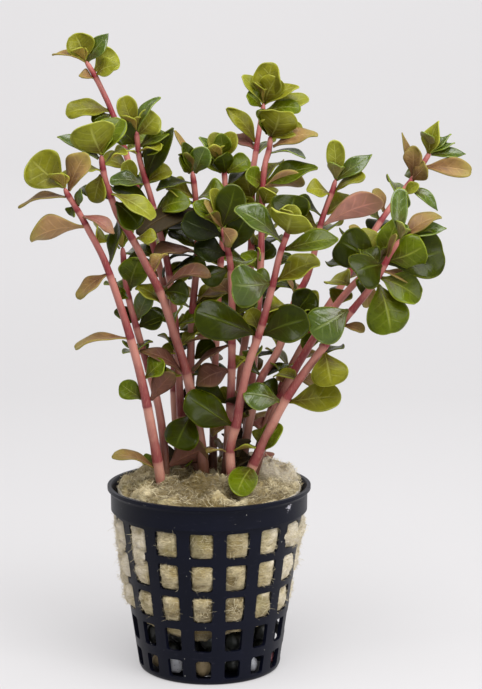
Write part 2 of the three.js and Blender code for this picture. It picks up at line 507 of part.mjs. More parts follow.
function leaf(stem, row, sides, stations, clear, grow) {
  const [, height, tipU, tipV, nearer, width, turn, arch] = row;
  const { place: joint, y, along: stemway } = onStem(stem, height);
  const tip = seen(tipU, tipV, y + nearer);
  const axis = tip.clone().sub(joint).normalize();
  const slant = Math.max(0.4, Math.sqrt(1 - axis.dot(stemway) ** 2));
  const base = joint.clone().addScaledVector(axis, clear / slant);
  const length = tip.distanceTo(base);
  const front = EYE.clone().sub(base).normalize();
  front.addScaledVector(axis, -front.dot(axis)).normalize();
  const upward = axis.clone().cross(front);
  if (upward.z < 0) upward.negate();
  const angle = THREE.MathUtils.degToRad(turn);
  const face = front.multiplyScalar(Math.cos(angle)).addScaledVector(upward, Math.sin(angle));
  const side = face.clone().cross(axis);
  const keel = sides === 3 ? -Math.PI / 2 : 0;
  const ball = new THREE.SphereGeometry(1, sides, stations).rotateY(keel);
  return toSolid(movePoints(ball, ({ x, y: pole, z }) => {
    const along = (1 - pole) / 2;
    const point = base.clone().addScaledVector(axis, along * length - Math.round(pole) * grow);
    if (Math.abs(pole) > 0.999) return point;
    const ring = Math.hypot(x, z);
    const half = Math.max((width / 2) * bladeOutline(along), STALK_WIDTH / 2) + grow;
    const across = Math.abs(x / ring) > 0.5 ? Math.sign(x) * half : 0;
    const bow = arch * length * 4 * along * (1 - along);
    const swell = Math.sign(Math.round((2 * z) / ring)) * grow;
    const lift = (z / ring) * (LEAF_THICKNESS / 2) + swell + bow + LEAF_CUP * Math.abs(across);
    return point.addScaledVector(side, across).addScaledVector(face, lift);
  }));
}

// What is already in place, each thing a little grown, so that a later one can be cut clear of it
const inPlace = [];

function putInPlace(owner, solid) {
  inPlace.push({ owner, solid, box: solid.boundingBox() });
}

function keepClear(owner, solid) {
  const box = solid.boundingBox();
  const touches = ({ min, max }) => [0, 1, 2].every((k) => min[k] < box.max[k] && max[k] > box.min[k]);
  const near = inPlace.filter((thing) => thing.owner !== owner && touches(thing.box));
  return largest(near.reduce((rest, thing) => rest.subtract(thing.solid), solid));
}

// Stone wool: a plug inside the cone, domed over the lip, that bulges out through the windows at both sides

function woolTop(x, y) {
  const dome = WOOL_DOME.height * (1 - (x * x + y * y) / WOOL_DOME.radius ** 2);
  return MOUNDS.reduce((top, mound) => (
    top + mound.height * Math.exp(-((x - mound.x) ** 2 + (y - mound.y) ** 2) / mound.spread)
  ), WOOL_EDGE + dome);
}

function woolPlug() {
  const flat = Math.cos(COLUMN_ANGLE / 2);
  const inside = (z) => (coneRadius(z) - POT_WALL) * flat - GAP;
  const edge = inside(BAND_BOTTOM);
  const rounded = WOOL_BOTTOM + 2 * WOOL_ROUND;
  const shoulder = edge - WOOL_ROUND;
  const plug = movePoints(turned([
    [0, WOOL_BOTTOM], [inside(WOOL_BOTTOM) - 2 * WOOL_ROUND, WOOL_BOTTOM], [inside(rounded), rounded],
    [edge, BAND_BOTTOM], [edge, WOOL_EDGE - WOOL_ROUND], [shoulder, WOOL_EDGE],
    [(shoulder * 2) / 3, WOOL_EDGE], [shoulder / 3, WOOL_EDGE], [0, WOOL_EDGE],
  ], WOOL_SEGMENTS, 0), (point) => {
    if (point.z < WOOL_EDGE - GAP) return point;
    return new THREE.Vector3(point.x, point.y, woolTop(point.x, point.y));
  });
  const bulges = [];
  for (let column = 0; column < COLUMNS; column += 1) {
    const angle = FIRST_COLUMN + column * COLUMN_ANGLE;
    const sideways = Math.abs(Math.sin(angle));
    if (sideways < BULGE.from) continue;
    const span = { inner: -BULGE.root, outer: BULGE.out * (sideways - BULGE.less), pinch: BULGE.pinch };
    for (const row of WINDOW_ROWS.slice(0, BULGE.rows)) bulges.push(windowBlock(angle, row, GAP, span));
  }
  return toSolid(plug).add(union(bulges));
}

function pebble([x, y, z, a, b, c], grow) {
  const stone = new THREE.SphereGeometry(1, 6, 4);
  stone.scale(a + grow, b + grow, c + grow).translate(x, y, z);
  return toSolid(stone);
}

// The whole object

const object = new THREE.Group();
const two = (number) => String(number).padStart(2, "0");

object.add(toMesh("net_pot", plain(netPot()), POT_FINISH));

const grownStems = STEMS.map((stem) => stemTube(stem, GAP));
const grownPebbles = PEBBLES.map((stone) => pebble(stone, GAP));
const wool = plain(largest(woolPlug().subtract(union([...grownStems, ...grownPebbles]))));
object.add(toMesh("stone_wool", wool, WOOL_FINISH));
PEBBLES.forEach((stone, i) => {
  object.add(toMesh(`pebble_${i + 1}`, pebble(stone, 0), [PEBBLE_COLOURS[i], PEBBLE_ROUGHNESS]));
});

putInPlace("stone_wool", wool);
STEMS.forEach((stem, i) => putInPlace(`stem_${two(i + 1)}`, grownStems[i]));

STEMS.forEach((stem, i) => {
  stem.large.forEach((row, k) => {
    const name = `leaf_${two(i + 1)}_${k + 1}`;
    const clear = stem.girth[0] / 2 + GAP;
    const blade = plain(keepClear(name, leaf(stem, row, 4, 5, clear, 0)));
    object.add(toMesh(name, blade, [LEAF_COLOURS[row[0]], LEAF_ROUGHNESS]));
    putInPlace(name, leaf(stem, row, 4, 5, clear, GAP));
  });
});

STEMS.forEach((stem, i) => {
  const owner = `stem_${two(i + 1)}`;
  const blades = stem.small.map((row) => {
    const blade = keepClear(owner, leaf(stem, row, 3, 3, 0, 0));
    putInPlace(owner, leaf(stem, row, 3, 3, 0, GAP));
    return blade;
  });
  const leafy = largest(plain(union([stemTube(stem, 0), ...blades])));
  object.add(toMesh(owner, leafy, STEM_FINISH));
});

export default object;
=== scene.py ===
# Potted rotala indica: pink stems with small leaves, planted in stone wool in a black net pot.
# Millimetres, until a piece is finished in metres. -Y is the front and the pot stands on Z = 0.
import math
import random

import bmesh
import bpy
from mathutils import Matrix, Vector, noise


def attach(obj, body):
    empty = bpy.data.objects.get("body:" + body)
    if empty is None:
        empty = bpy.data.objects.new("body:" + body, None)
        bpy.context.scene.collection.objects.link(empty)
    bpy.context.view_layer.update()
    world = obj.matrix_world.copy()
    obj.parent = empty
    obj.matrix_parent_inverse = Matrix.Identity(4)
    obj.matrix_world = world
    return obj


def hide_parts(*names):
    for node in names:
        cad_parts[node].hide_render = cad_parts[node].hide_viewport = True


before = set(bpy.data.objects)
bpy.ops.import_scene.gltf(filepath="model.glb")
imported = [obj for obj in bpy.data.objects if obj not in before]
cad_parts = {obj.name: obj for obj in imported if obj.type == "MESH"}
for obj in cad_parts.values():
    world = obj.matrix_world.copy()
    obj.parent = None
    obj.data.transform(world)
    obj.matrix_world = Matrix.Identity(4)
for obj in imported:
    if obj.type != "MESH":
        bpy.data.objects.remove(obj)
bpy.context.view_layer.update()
MM = 0.001
TINY = 1e-6
chance = random.Random(27)

# The eye that sees the plant, and the picture plane that its places are laid out in: u is millimetres right of
# the pot's axis and v millimetres above the front edge of its foot, and y is the depth.
EYE = Vector((7.84, -505.15, 164.27))
LOOK_DOWN = math.radians(9.4)
LENS = 109.92
VIEW_DISTANCE = 525.9
VIEW_CENTRE_U = 8
VIEW_CENTRE_V = 85.4



def put(name, data):
    """A new object in the scene."""
    made = bpy.data.objects.new(name, data)
    bpy.context.scene.collection.objects.link(made)
    return made


camera = put("camera", bpy.data.cameras.new("camera"))
camera.data.lens = LENS
camera.data.clip_end = 10
camera.location = EYE * MM
camera.rotation_euler = (math.radians(90) - LOOK_DOWN, 0, 0)
bpy.context.scene.camera = camera

# Net pot
POT_HEIGHT = 45.94
LIP_RADIUS = 25
LIP_HEIGHT = 1.2
LIP_SLOPE = 0.4
BAND_RADIUS = 24.15
BAND_BOTTOM = 40
FOOT_RADIUS = 17.39
CONE_TOP_RADIUS = 24.09
POT_WALL = 1
FOOT_ROUND = 1
COLUMNS = 16
RIB_WIDTH = 3.2
FIRST_COLUMN = math.radians(-3.9)
COLUMN_ANGLE = 2 * math.pi / COLUMNS
WINDOW_ROWS = [(38.89, 32.67), (30.75, 24.24), (22.64, 16.28), (14.33, 8.61), (6.24, 1.6)]
WINDOW_CORNER = 0.7
FLOOR_SLOTS = 8
SLOT_WIDTH = 2.4
SLOT_INNER = 6.5
SLOT_OUTER = 13.5

# Stone wool
WOOL_BOTTOM = 11
WOOL_EDGE = 46.6
WOOL_DOME = {"height": 2.2, "radius": 22}
MOUNDS = [
    {"x": 16, "y": 9, "height": 3.2, "spread": 80}, {"x": -16, "y": 4, "height": 0.8, "spread": 60},
]

# Stems and leaves
FAN_OUT = 0.008
FAN_START = 54
PLANTED_DEPTH = 4
LEAF_THICKNESS = 0.28
LEAF_CUP = 0.3
FRONT_WRAP = {"cup": -0.32, "widest": 0.62, "blunt": 2.3}
LEAF_SPREAD = 1.02
LARGE_SPREAD = 1.08
BLADE_WIDEST = (0.54, 0.7)
BLADE_BLUNT = (1.9, 2.6)
FOOT_FULLNESS = 1.25
TIP_ROUND = 0.075
TIP_SHARP = 0.02
SHARP_BLUNT = 1.3
POINTED = (0, 0.4)
ROUND_CUP = -0.1
TIP_NOTCH = 0.035
NOTCH_WIDTH = 0.3
NOTCH_POWER = 8
STALK_WIDTH = 0.9
STALK_POWER = 6
CUP_POWER = 1.5
LEAF_SEAT = 0.42
LEAST_SLANT = 0.4
CROWN_REACH = 0.8
CUP_RANGE = (0.5, 1.4)
WRAP_TURN = 30
WRAP_NEARER = -3
POINT_SHIFT = 0.12
RUFFLE = (0.05, 0.16)
RUFFLE_WAVES = 1.4
RUFFLE_SKEW = 0.3
TWIST = 26
ROUND_CALM = 0.2
SWAY = 0.05
DROOP = (-0.02, 0.05)


def seen(u, v, y):
    across, rise = u - VIEW_CENTRE_U, v - VIEW_CENTRE_V
    ray = Vector((
        across,
        VIEW_DISTANCE * math.cos(LOOK_DOWN) + rise * math.sin(LOOK_DOWN),
        rise * math.cos(LOOK_DOWN) - VIEW_DISTANCE * math.sin(LOOK_DOWN),
    ))
    return EYE + ray * ((y - EYE.y) / ray.y)


# Each stem: its thickness at the foot and at the tip, the points of its line as [u, v, y], and its leaves. A leaf
# is [tone, v of its joint, u and v of its tip, how much nearer (-) or further (+) the tip lies, width, turn,
# arch], and may end with how pointed its tip is, up to 1, or with -1 where its foot is round too. A turn of 0
# shows the upper face to the front, 90 lays it flat, and past 90 the underside shows.
STEMS = [
    {"girth": (3.0, 1.5), "line": [
        [-12.1, 51.75, -7], [-15.25, 69.85, -9], [-19.25, 86.75, -11], [-24.75, 102.4, -13], [-26.3, 107.25, -13.5],
        [-29.4, 112.5, -14], [-30.3, 114.5, -14.5], [-33.25, 119.75, -15], [-35.1, 122.35, -15.5],
        [-36.25, 124.75, -16],
    ], "large": [
        ["o", 124.75, -44.5, 132, -1, 9, 15, 0.05], ["b", 115.1, -44.9, 111.8, -2, 7.5, 130, 0.08],
        ["b", 87.2, -33.85, 84, -2, 6, 68, 0.12],
    ], "small": [
        ["b", 123.1, -30.3, 133.25, -1, 7, 50, 0.05], ["b", 122.5, -47.9, 120, -2, 4.8, 72, 0.1, 0.9],
        ["s", 119.2, -32.1, 124.25, -3, 2.4, 20, 0.1, 0.8], ["g", 120.5, -34.5, 117.5, 2, 3, 40, 0.1],
        ["p", 118, -23.5, 113.25, -2, 4.4, 65, 0.08, 0.7], ["b", 103.5, -33.1, 96.9, -1, 5, 50, 0.08],
        ["d", 104.2, -22.75, 117, 6, 5.5, 65, -0.06], ["g", 71, -22.2, 75.75, 0, 5, 10, 0.05],
        ["m", 70.5, -9, 78.5, -2, 5.5, 150, 0.05], ["b", 54.5, -24.4, 57.4, -2, 5, 60, 0.1],
        ["g", 55, -16.75, 57.25, 3, 3, 30, 0.05],
    ]},
    {"girth": (2.6, 1.6), "line": [
        [-11, 54, -3], [-11.1, 59.25, -3], [-12.5, 70.75, -3], [-15, 78.5, -3], [-17.8, 88.5, -3.5],
        [-20.25, 97.1, -4], [-21, 102.5, -4], [-21.65, 110, -4],
    ], "large": [
        ["g", 97.5, -17.25, 107, -2, 6.5, 20, 0.05],
    ], "small": [
        ["g", 109, -27.6, 112.5, 1, 3, 75, 0.12], ["g", 110, -21, 116.5, 0, 3.5, 40, 0],
        ["d", 106, -16, 107.25, 0, 4, 60, 0.15], ["s", 90.2, -15, 99.25, -1, 4.5, 20, 0.05],
        ["d", 89.7, -11.25, 92.5, -1, 5.5, 10, 0.05], ["d", 90.3, -23.6, 94, 0, 4.5, 50, 0.08],
        ["n", 78.6, -11, 81, -1, 5.5, 10, 0.05], ["m", 54.6, -0.6, 59.8, -3.5, 7, 140, 0.08, 0],
    ]},
    {"girth": (3.2, 1.6), "painted_bush_shade": 0.6, "line": [
        [-1.25, 53.5, -4], [-2.05, 61.75, -4.5], [-4, 71.25, -5], [-5.5, 78, -6], [-7.75, 85.25, -7],
        [-10.25, 92.75, -8], [-12, 99, -8.7], [-16.5, 106, -9.5], [-18.5, 111.5, -10], [-22.25, 116, -11],
        [-23.5, 119.75, -11.5], [-25.5, 124.75, -12], [-26.4, 128.25, -12.5], [-27, 133, -13],
    ], "large": [
        ["y", 133, -29.75, 140.6, -4, 10, 10, 0.12], ["y", 123.7, -13.5, 116.75, -4, 6, 60, 0.08],
        ["d", 122, -17.25, 114.75, -1, 7, 10, 0.05], ["m", 99.3, 0.5, 102.75, -3, 6.5, 70, 0.13],
    ], "small": [
        ["s", 131.5, -38, 137.6, 0, 5, 50, 0.08, 0.8], ["g", 132.8, -21.75, 142, 4, 7, 30, 0.05],
        ["o", 130.5, -20.25, 133.25, -1, 5, 70, 0.1], ["o", 129, -32, 129, -2, 4, 70, 0.1],
        ["o", 129.5, -28.7, 120.8, 2, 5, 20, 0.12], ["o", 112, -13.3, 112, -2, 4.6, 58, 0.08],
        ["d", 69.3, -8.4, 59.6, -4, 9, 8, 0.06], ["d", 98.7, -5, 97.5, -1, 6, 20, 0.08],
        ["m", 78, -17.35, 84.2, -3, 5, 60, 0.1, 0.4],
    ]},
    {"girth": (2.6, 1.5), "line": [
        [-7.25, 55.25, 5], [-8.5, 68, 5.5], [-8.75, 76.5, 5.5], [-8.5, 85.25, 6], [-10.25, 96.5, 6.5],
        [-13, 107, 7], [-15.5, 116, 7.5], [-17.25, 121.5, 8], [-21, 134, 8.5], [-24.4, 144.25, 9],
        [-26.1, 147.5, 9], [-27.65, 151.1, 9], [-29.5, 154.2, 9], [-31, 156.5, 9],
    ], "large": [
        ["o", 144, -35.9, 143.25, -2, 6.5, 35, 0.08],
    ], "small": [
        ["o", 156.5, -33.6, 163.2, -1, 7, 5, 0.1], ["s", 156, -25.25, 163.3, 0, 4.8, 25, 0.05, 1],
        ["b", 156, -39.3, 157.9, -1, 5, 72, 0.1, 1], ["y", 153.5, -23, 158, 2, 6.5, 15, 0.06, 0.1],
        ["y", 152.8, -22.4, 155.4, -3, 5.5, 50, 0.1, 0.8], ["b", 152, -32.6, 152.6, -1, 4, 70, 0.1, 0.8],
        ["d", 143, -29.25, 141.25, -3, 5, 60, 0.08], ["y", 124, -21, 131.5, -2, 4.5, 10, 0.05],
        ["g", 134, -14, 137, 9, 6.5, 60, 0.1], ["d", 121.5, -24, 124, 9, 6.5, 60, 0.1],
        ["d", 107, -20, 109, 9, 7, 60, 0.1], ["b", 96.5, -3, 98, 9, 7, 70, 0.1],
    ]},
    {"girth": (2.6, 1.5), "line": [
        [-6, 54.5, 1], [-7, 66.5, 1], [-7.5, 76.5, 1], [-8.25, 89, 1], [-9.75, 102.75, 1], [-11.5, 111, 0.5],
        [-12.9, 114.75, 0], [-14.25, 121.5, 0], [-15.3, 124.5, -0.5], [-17.25, 130.75, -1], [-17.75, 134.5, -1.5],
        [-18.25, 139.25, -2],
    ], "large": [
        ["d", 126.2, -8.8, 139.5, -2, 5, 20, 0.1, 0.8],
    ], "small": [
        ["o", 139, -21.6, 147.7, -1, 4.8, 10, 0.05, 0], ["s", 138.6, -11.9, 147.25, 1, 4.4, 50, 0.2, 0.8],
        ["y", 137.5, -12.85, 143, -1, 6.5, 10, 0.08], ["g", 134.75, -10, 138.25, -1, 4.8, 45, 0.08, 0.8],
        ["d", 135, -23, 139.5, -2, 6, 20, 0.08], ["o", 133.8, -12, 134.25, -4, 5, 78, 0.1],
        ["o", 133.2, -23.5, 133.5, -4, 5, 82, 0.1], ["o", 126, -9.25, 129, 1, 5, 30, 0.08],
        ["y", 128, -12.75, 133.25, 3, 4.5, 20, 0.05], ["s", 125.5, -24.9, 126.4, -1, 6, 65, 0.08],
        ["d", 120.5, -24.25, 124.5, -2, 6, 45, 0.08], ["y", 84.5, -2.4, 88.8, 2, 4.5, 40, 0.1],
    ]},
    {"girth": (2.7, 1.6), "line": [
        [-3.5, 55.25, 3], [-4.75, 66.5, 3], [-4.5, 81, 3], [-4.4, 93.25, 3], [-3.25, 101.5, 3], [-2.75, 111.5, 2.5],
        [-3.25, 121.75, 2], [-4, 127.25, 1], [-4.25, 129, 1],
    ], "large": [
        ["k", 119.5, -18, 112.75, -11, 6.5, 40, 0.1, -1], ["m", 108.5, -13.15, 108, -9.5, 6.5, 55, 0.12],
    ], "small": [
        ["b", 128.8, -8.7, 139, -1, 3.4, 60, 0.05, 0.9], ["d", 128.5, -6.5, 136, -2, 4, 50, 0.05],
        ["d", 127, -7.25, 132.5, -3, 4.5, 40, 0.08], ["s", 127, -0.75, 134.75, -2, 5.5, 15, 0.05],
        ["d", 126, -13.25, 123.75, -3, 5.5, 70, 0.1], ["g", 121, -13, 119.3, -3, 5, 50, 0.1],
        ["n", 115, -15, 112.75, 1, 5.5, 65, 0.08], ["n", 108, -11.8, 102, -1, 3.8, 78, 0.3],
        ["y", 105.8, -9.25, 102.8, -3, 5.5, 20, 0.05], ["b", 95.5, 4.5, 98.25, -4, 6, 72, 0.16],
        ["o", 93.5, -1, 88, 1, 4.5, 30, 0.05], ["o", 93, -7.5, 90, 3, 4.5, 40, 0.05],
    ]},
    {"girth": (2.5, 1.5), "line": [
        [1, 56, 7], [1.25, 71.5, 7.5], [1.75, 89, 8], [3, 106.5, 8], [4, 121.5, 8], [4, 127.5, 8], [3.25, 131.5, 8],
    ], "large": [], "small": [
        ["d", 127.5, 3.25, 132.75, -4, 5.5, 10, 0.1], ["s", 129, -2.5, 137.5, 0, 5, 50, 0.05],
        ["o", 130, 1, 138.5, 1, 5, 30, 0.05], ["o", 130.5, 6, 138.75, 0, 5, 30, 0.05],
        ["g", 131.5, 3, 138.25, -2, 4.5, 20, 0.05], ["g", 128, -3, 132.5, 1, 5.5, 40, 0.08],
        ["g", 128, 10, 132, 1, 5.5, 40, 0.08], ["g", 118, 9, 121, 7, 7, 60, 0.1],
        ["d", 106, -4, 109, 10, 7, 60, 0.1], ["b", 89, 6, 91, 9, 7, 70, 0.1], ["d", 71.5, -4, 74, 9, 6.5, 65, 0.1],
    ]},
    {"girth": (2.7, 1.7), "line": [
        [4.25, 54, -2], [4.75, 61.5, -2], [5.25, 69, -2.5], [5.6, 74.25, -3], [5.75, 87.5, -3], [5.75, 96.5, -3],
        [5.5, 104.75, -3], [4.75, 109, -3.5], [3.25, 115, -4],
    ], "large": [
        ["n", 112.3, -6.75, 117, -2, 6.5, 15, 0.08], ["d", 107.5, 9.75, 118, -3, 6.5, 15, 0.05],
    ], "small": [
        ["d", 114.9, 6.65, 125.6, -2, 7.5, 10, 0.08], ["o", 114.7, 0.75, 124.5, 0, 5, 40, 0.05],
        ["b", 114.5, -1, 121.5, -3, 4, 50, 0.05, 0.7], ["g", 114, -4, 121, -1, 5, 50, 0.08],
        ["b", 114.6, 6, 110.3, -3, 5, 150, 0.05], ["n", 107.8, -4, 109.6, -2, 7, 20, 0.08],
        ["d", 104.5, -2, 101.8, -3, 5.5, 15, 0.08], ["m", 79.5, -3.25, 75.25, -2, 6.5, 20, 0.08],
        ["m", 86.5, -6, 85.75, -1, 4, 80, 0.1, 0.8], ["m", 86, -4.25, 78.5, -2, 4, 55, 0.08, 0.6],
        ["d", 70.5, -3.5, 75.25, -2, 6, 20, 0.05], ["p", 66, 6.25, 74, -1, 2.5, 20, 0.02],
        ["y", 69, 3.5, 75, 2, 3, 10, 0.02],
    ]},
    {"girth": (2.5, 1.5), "line": [
        [6.75, 56, 9], [7.25, 65.25, 9.5], [7.75, 80.25, 10], [9.5, 87.75, 10.5], [10.25, 96.5, 11],
        [10.5, 109, 12], [10.75, 121.5, 13], [11, 130, 14], [11.75, 132.9, 14.5], [12.25, 137.75, 15],
        [13.25, 142.75, 15.5], [13.75, 146, 15.5],
    ], "large": [
        ["o", 135.5, 4.4, 144.5, -1, 4.6, 35, 0.08, 0.9],
    ], "small": [
        ["o", 146, 15.75, 156, -1, 8, 8, 0.08], ["o", 145, 16.75, 152.25, -3, 6.5, 15, 0.08],
        ["o", 145.5, 22.5, 150.1, -1, 5, 40, 0.08], ["y", 145.7, 8.5, 152.9, 0, 4.5, 45, 0.05],
        ["g", 144.5, 9.5, 148.25, -2, 4.5, 40, 0.08], ["g", 143, 23, 144.5, -2, 5.5, 40, 0.1],
        ["y", 143.5, 25, 147, 3, 5.5, 30, 0.08], ["p", 134, 6.5, 138, 2, 5, 50, 0.08],
        ["o", 121, 8.25, 129, -4, 6.5, 10, 0.1], ["y", 121.5, 12, 129, -3, 5.5, 15, 0.05],
        ["g", 133, 16, 136, 9, 7, 60, 0.1], ["d", 121, 4, 124, 10, 7, 60, 0.1],
        ["d", 109, 18, 112, 10, 7.5, 60, 0.1], ["b", 96, 4, 98, 9, 7, 70, 0.1], ["d", 87.75, 16, 90, 9, 7, 65, 0.1],
        ["o", 110, 11.5, 112.5, -3, 4, 20, 0.05], ["b", 63.5, 15.9, 68.25, 0, 5, 55, 0.08],
        ["d", 65, 12, 70, 0, 5, 50, 0.08],
    ]},
    {"girth": (2.6, 1.6), "line": [
        [8.5, 56, 4.7], [9.5, 65.25, 5.5], [10.75, 76.5, 6], [12, 89, 6.5], [12.75, 101.5, 7], [13.25, 114, 7.5],
        [13.35, 128.25, 8], [14.5, 132, 8], [15.25, 134.75, 8], [15.25, 137.75, 8],
    ], "large": [
        ["o", 136.5, 17.75, 143.75, -4, 9.5, 5, 0.12], ["b", 134.75, 27.3, 138, -2, 6, 48, 0.1],
        ["g", 125.7, 27.15, 130, -2, 6.2, 28, 0.08, 0.5],
    ], "small": [
        ["y", 137.75, 21, 143.5, 1, 4, 30, 0.05], ["d", 136.5, 12.25, 144.25, 0, 4.5, 35, 0.05],
        ["o", 137, 23.5, 140, 1, 4.5, 30, 0.08], ["s", 133.5, 24.25, 132.25, -3, 5.5, 70, 0.1],
        ["b", 124.8, 24, 126, -3, 6, 125, 0.08, 0], ["g", 125.5, 9, 128, -4, 5.5, 40, 0.08],
        ["y", 120, 15, 124, -4, 5, 20, 0.05], ["y", 119, 17, 120, -3, 5, 30, 0.08],
        ["o", 108, 13, 108, -3, 3.5, 20, 0.05],
    ]},
    {"girth": (2.9, 1.6), "line": [
        [5.5, 54, -6.5], [5.1, 59, -6.5], [6, 63, -7], [7.25, 66.5, -7.5], [7.4, 70.25, -8], [8.6, 74.5, -8.5],
        [9.5, 80, -9], [11.9, 86, -10], [13.5, 91, -11], [16, 100.75, -12.5], [17.1, 105.25, -13.2],
        [17.75, 108.5, -13.8], [19, 111.25, -14.2], [20, 115, -14.6],
    ], "large": [
        ["d", 115, 21.75, 122.75, 2, 9.5, 10, 0.08], ["y", 112.5, 20.5, 117.6, -6, 10, 22, 0.12],
        ["s", 100.75, 5.45, 100.5, -4, 9.5, 10, 0.1], ["o", 101, 27.75, 106.25, -1, 7, 30, 0.08],
        ["d", 87.7, -3.5, 94, -3, 9, 15, 0.1], ["d", 87.5, 25.25, 92, -2, 8.5, 10, 0.08],
        ["d", 64.75, -5.6, 72.75, -3, 8.5, 10, 0.1],
    ], "small": [
        ["y", 115, 20.5, 120.5, -1, 5, 10, 0.05], ["s", 110.7, 6.2, 119.4, -2, 7, 58, 0.06],
        ["g", 109, 32.4, 112.1, -1, 6.5, 38, 0.08, 0.5], ["o", 90, 17.5, 94.5, 3, 4.5, 20, 0.05],
        ["o", 88.5, 9.75, 94.25, 2, 4.5, 15, 0.05], ["o", 58.8, 11.5, 59.5, -3, 4.5, 80, 0.05],
        ["b", 58.8, -0.5, 58.5, -3, 5, 80, 0.08],
    ]},
    {"girth": (2.7, 1.5), "line": [
        [8.5, 55.5, 0.5], [9.5, 64, 0.5], [12.25, 75.5, 1], [13.75, 78.25, 1], [16.5, 82.25, 1.5], [18.25, 86, 2],
        [21.25, 96, 2.5], [22.5, 99, 3], [25.25, 102.5, 3], [27, 112.5, 3.5], [28.2, 116.25, 3.5],
        [29.45, 120.5, 4], [30.5, 122.5, 4], [31.75, 127, 4],
    ], "large": [
        ["p", 115, 43.5, 121.6, -2, 7.5, 125, 0.08],
    ], "small": [
        ["y", 127, 31.2, 136.7, -1, 4.6, 12, 0.05, 0], ["s", 126.5, 40.75, 133, 1, 4.8, 40, 0.08, 0.9],
        ["o", 123, 24.4, 124, -3, 6, 55, 0.12, 0.6], ["o", 123.5, 39.25, 127.5, -2, 5, 55, 0.1, 0],
        ["o", 114.5, 21, 117, -1, 6, 50, 0.08], ["d", 91, 25.75, 99, -1, 7, 10, 0.05],
        ["g", 112.5, 32, 115, 9, 7, 60, 0.1], ["d", 99, 15, 101, 9, 7, 60, 0.1], ["b", 86, 22, 88, 9, 7, 70, 0.1],
    ]},
    {"girth": (2.6, 1.5), "line": [
        [11.5, 55.5, 2.6], [14, 65.25, 3.6], [18.25, 75.25, 4.5], [24, 86.5, 5], [31.5, 97.25, 6],
        [34.5, 102.75, 6.5], [39, 110.25, 7], [43.65, 117.5, 8], [47, 121.75, 8.5], [50.75, 126.5, 9],
        [54.4, 131.75, 9.5], [55.25, 134, 10],
    ], "large": [], "small": [
        ["y", 132, 57.3, 141.4, -1, 4.8, 12, 0.05, 0.9], ["s", 133.5, 61.5, 135.9, 0, 2.4, 45, 0.02, 1],
        ["s", 133.5, 60.4, 138.4, 1, 2.4, 40, 0.02, 1], ["s", 133, 64.25, 133.1, 0, 3.8, 50, 0.05, 0.9],
        ["b", 129.8, 66, 128.6, -2, 4.8, 30, 0.06, 0], ["b", 126.5, 51.2, 135.2, -1, 4.6, 15, 0.05, 0.2],
        ["b", 126, 54.25, 130.25, -4, 5, 20, 0.05], ["b", 127, 48.4, 138.5, 1, 2, 40, 0.02, 1],
        ["s", 120.5, 49.75, 122.5, -4, 5, 10, 0.05], ["y", 122.5, 52.5, 125.5, -2, 3, 40, 0.05],
        ["s", 125, 57.4, 119, -2, 3.6, 40, 0.15, 0.9], ["s", 116.5, 37.7, 121.1, -1, 4.5, 50, 0.08],
        ["b", 118, 41, 124.25, -1, 4, 50, 0.1], ["g", 122, 46, 126, 9, 6.5, 60, 0.1],
        ["d", 110, 34, 113, 9, 7, 60, 0.1], ["b", 102, 41, 103, 9, 7, 70, 0.1],
    ]},
    {"girth": (2.9, 1.7), "line": [
        [11.75, 55, -1.5], [14, 62, -1.5], [17, 70.25, -2], [20.6, 78, -2], [25.5, 85.6, -2.5], [32.75, 97.5, -3],
        [39.75, 103.5, -3.5], [42.75, 106, -4],
    ], "large": [
        ["d", 105.3, 32.25, 111.5, -3, 9.5, 5, 0.1],
    ], "small": [
        ["o", 106, 38.25, 114.5, 3, 6, 20, 0.08], ["b", 106, 35.25, 115.5, 4, 4.5, 40, 0.05],
        ["g", 106, 47.25, 117.25, 0, 6, 15, 0.05], ["b", 103, 39.5, 94.5, 1, 4, 40, 0.05],
        ["b", 78, 26.5, 75.5, 1, 4.5, 60, 0.08], ["d", 72, 13.25, 75.75, 1, 5.5, 40, 0.08],
        ["b", 75, 17.75, 78.25, 0, 2.8, 15, 0],
    ]},
    {"girth": (3.0, 1.6), "line": [
        [10.9, 55, -6], [13.5, 60.75, -6], [16.9, 67.5, -6.5], [18.4, 70.6, -7], [23.75, 78.5, -8],
        [29.25, 85.25, -8.5], [36, 94.75, -9.5], [41.5, 100.25, -10.5], [44, 106, -11], [46.5, 109.5, -11],
        [48, 112, -11],
    ], "large": [
        ["d", 105.5, 59, 109, 0, 10.5, 5, 0.08], ["d", 105.5, 36.5, 103.5, -6, 9.5, 15, 0.1],
        ["g", 101.5, 45.5, 87.75, -3, 9.5, 10, 0.12], ["g", 102.5, 52.75, 96.5, -1, 7, 15, 0.1],
        ["s", 94.75, 25.25, 88.5, -3, 9, 15, 0.1], ["o", 84.5, 30.75, 75, -3, 8.5, 10, 0.12],
        ["o", 71, 33.15, 72.25, -2, 7.5, 20, 0.08], ["s", 71, 8.65, 73.25, -3, 7, 15, 0.08],
    ], "small": [
        ["g", 106, 54, 110.25, -3, 8.5, 5, 0.08], ["b", 106, 47, 113, -4, 2.5, 50, 0.02],
        ["s", 111.8, 59.5, 114.5, 1, 4.2, 45, 0.05, 0.9], ["b", 112, 58, 117.75, 2, 6, 35, 0.08, 0.1],
        ["s", 112, 47.6, 124.75, 3, 4.2, 10, 0.05, 0], ["b", 104, 51.5, 101.5, 1, 4, 60, 0.05],
        ["b", 90.5, 39, 88.75, -1, 3.5, 50, 0.05], ["g", 56.5, 18, 65.5, -1, 6, 25, 0.08],
        ["o", 57.5, 13.75, 64.5, 2, 4.5, 30, 0.05], ["g", 55.2, 7.1, 48.3, -11.6, 6.8, 4, 0.03, -1],
    ]},
]

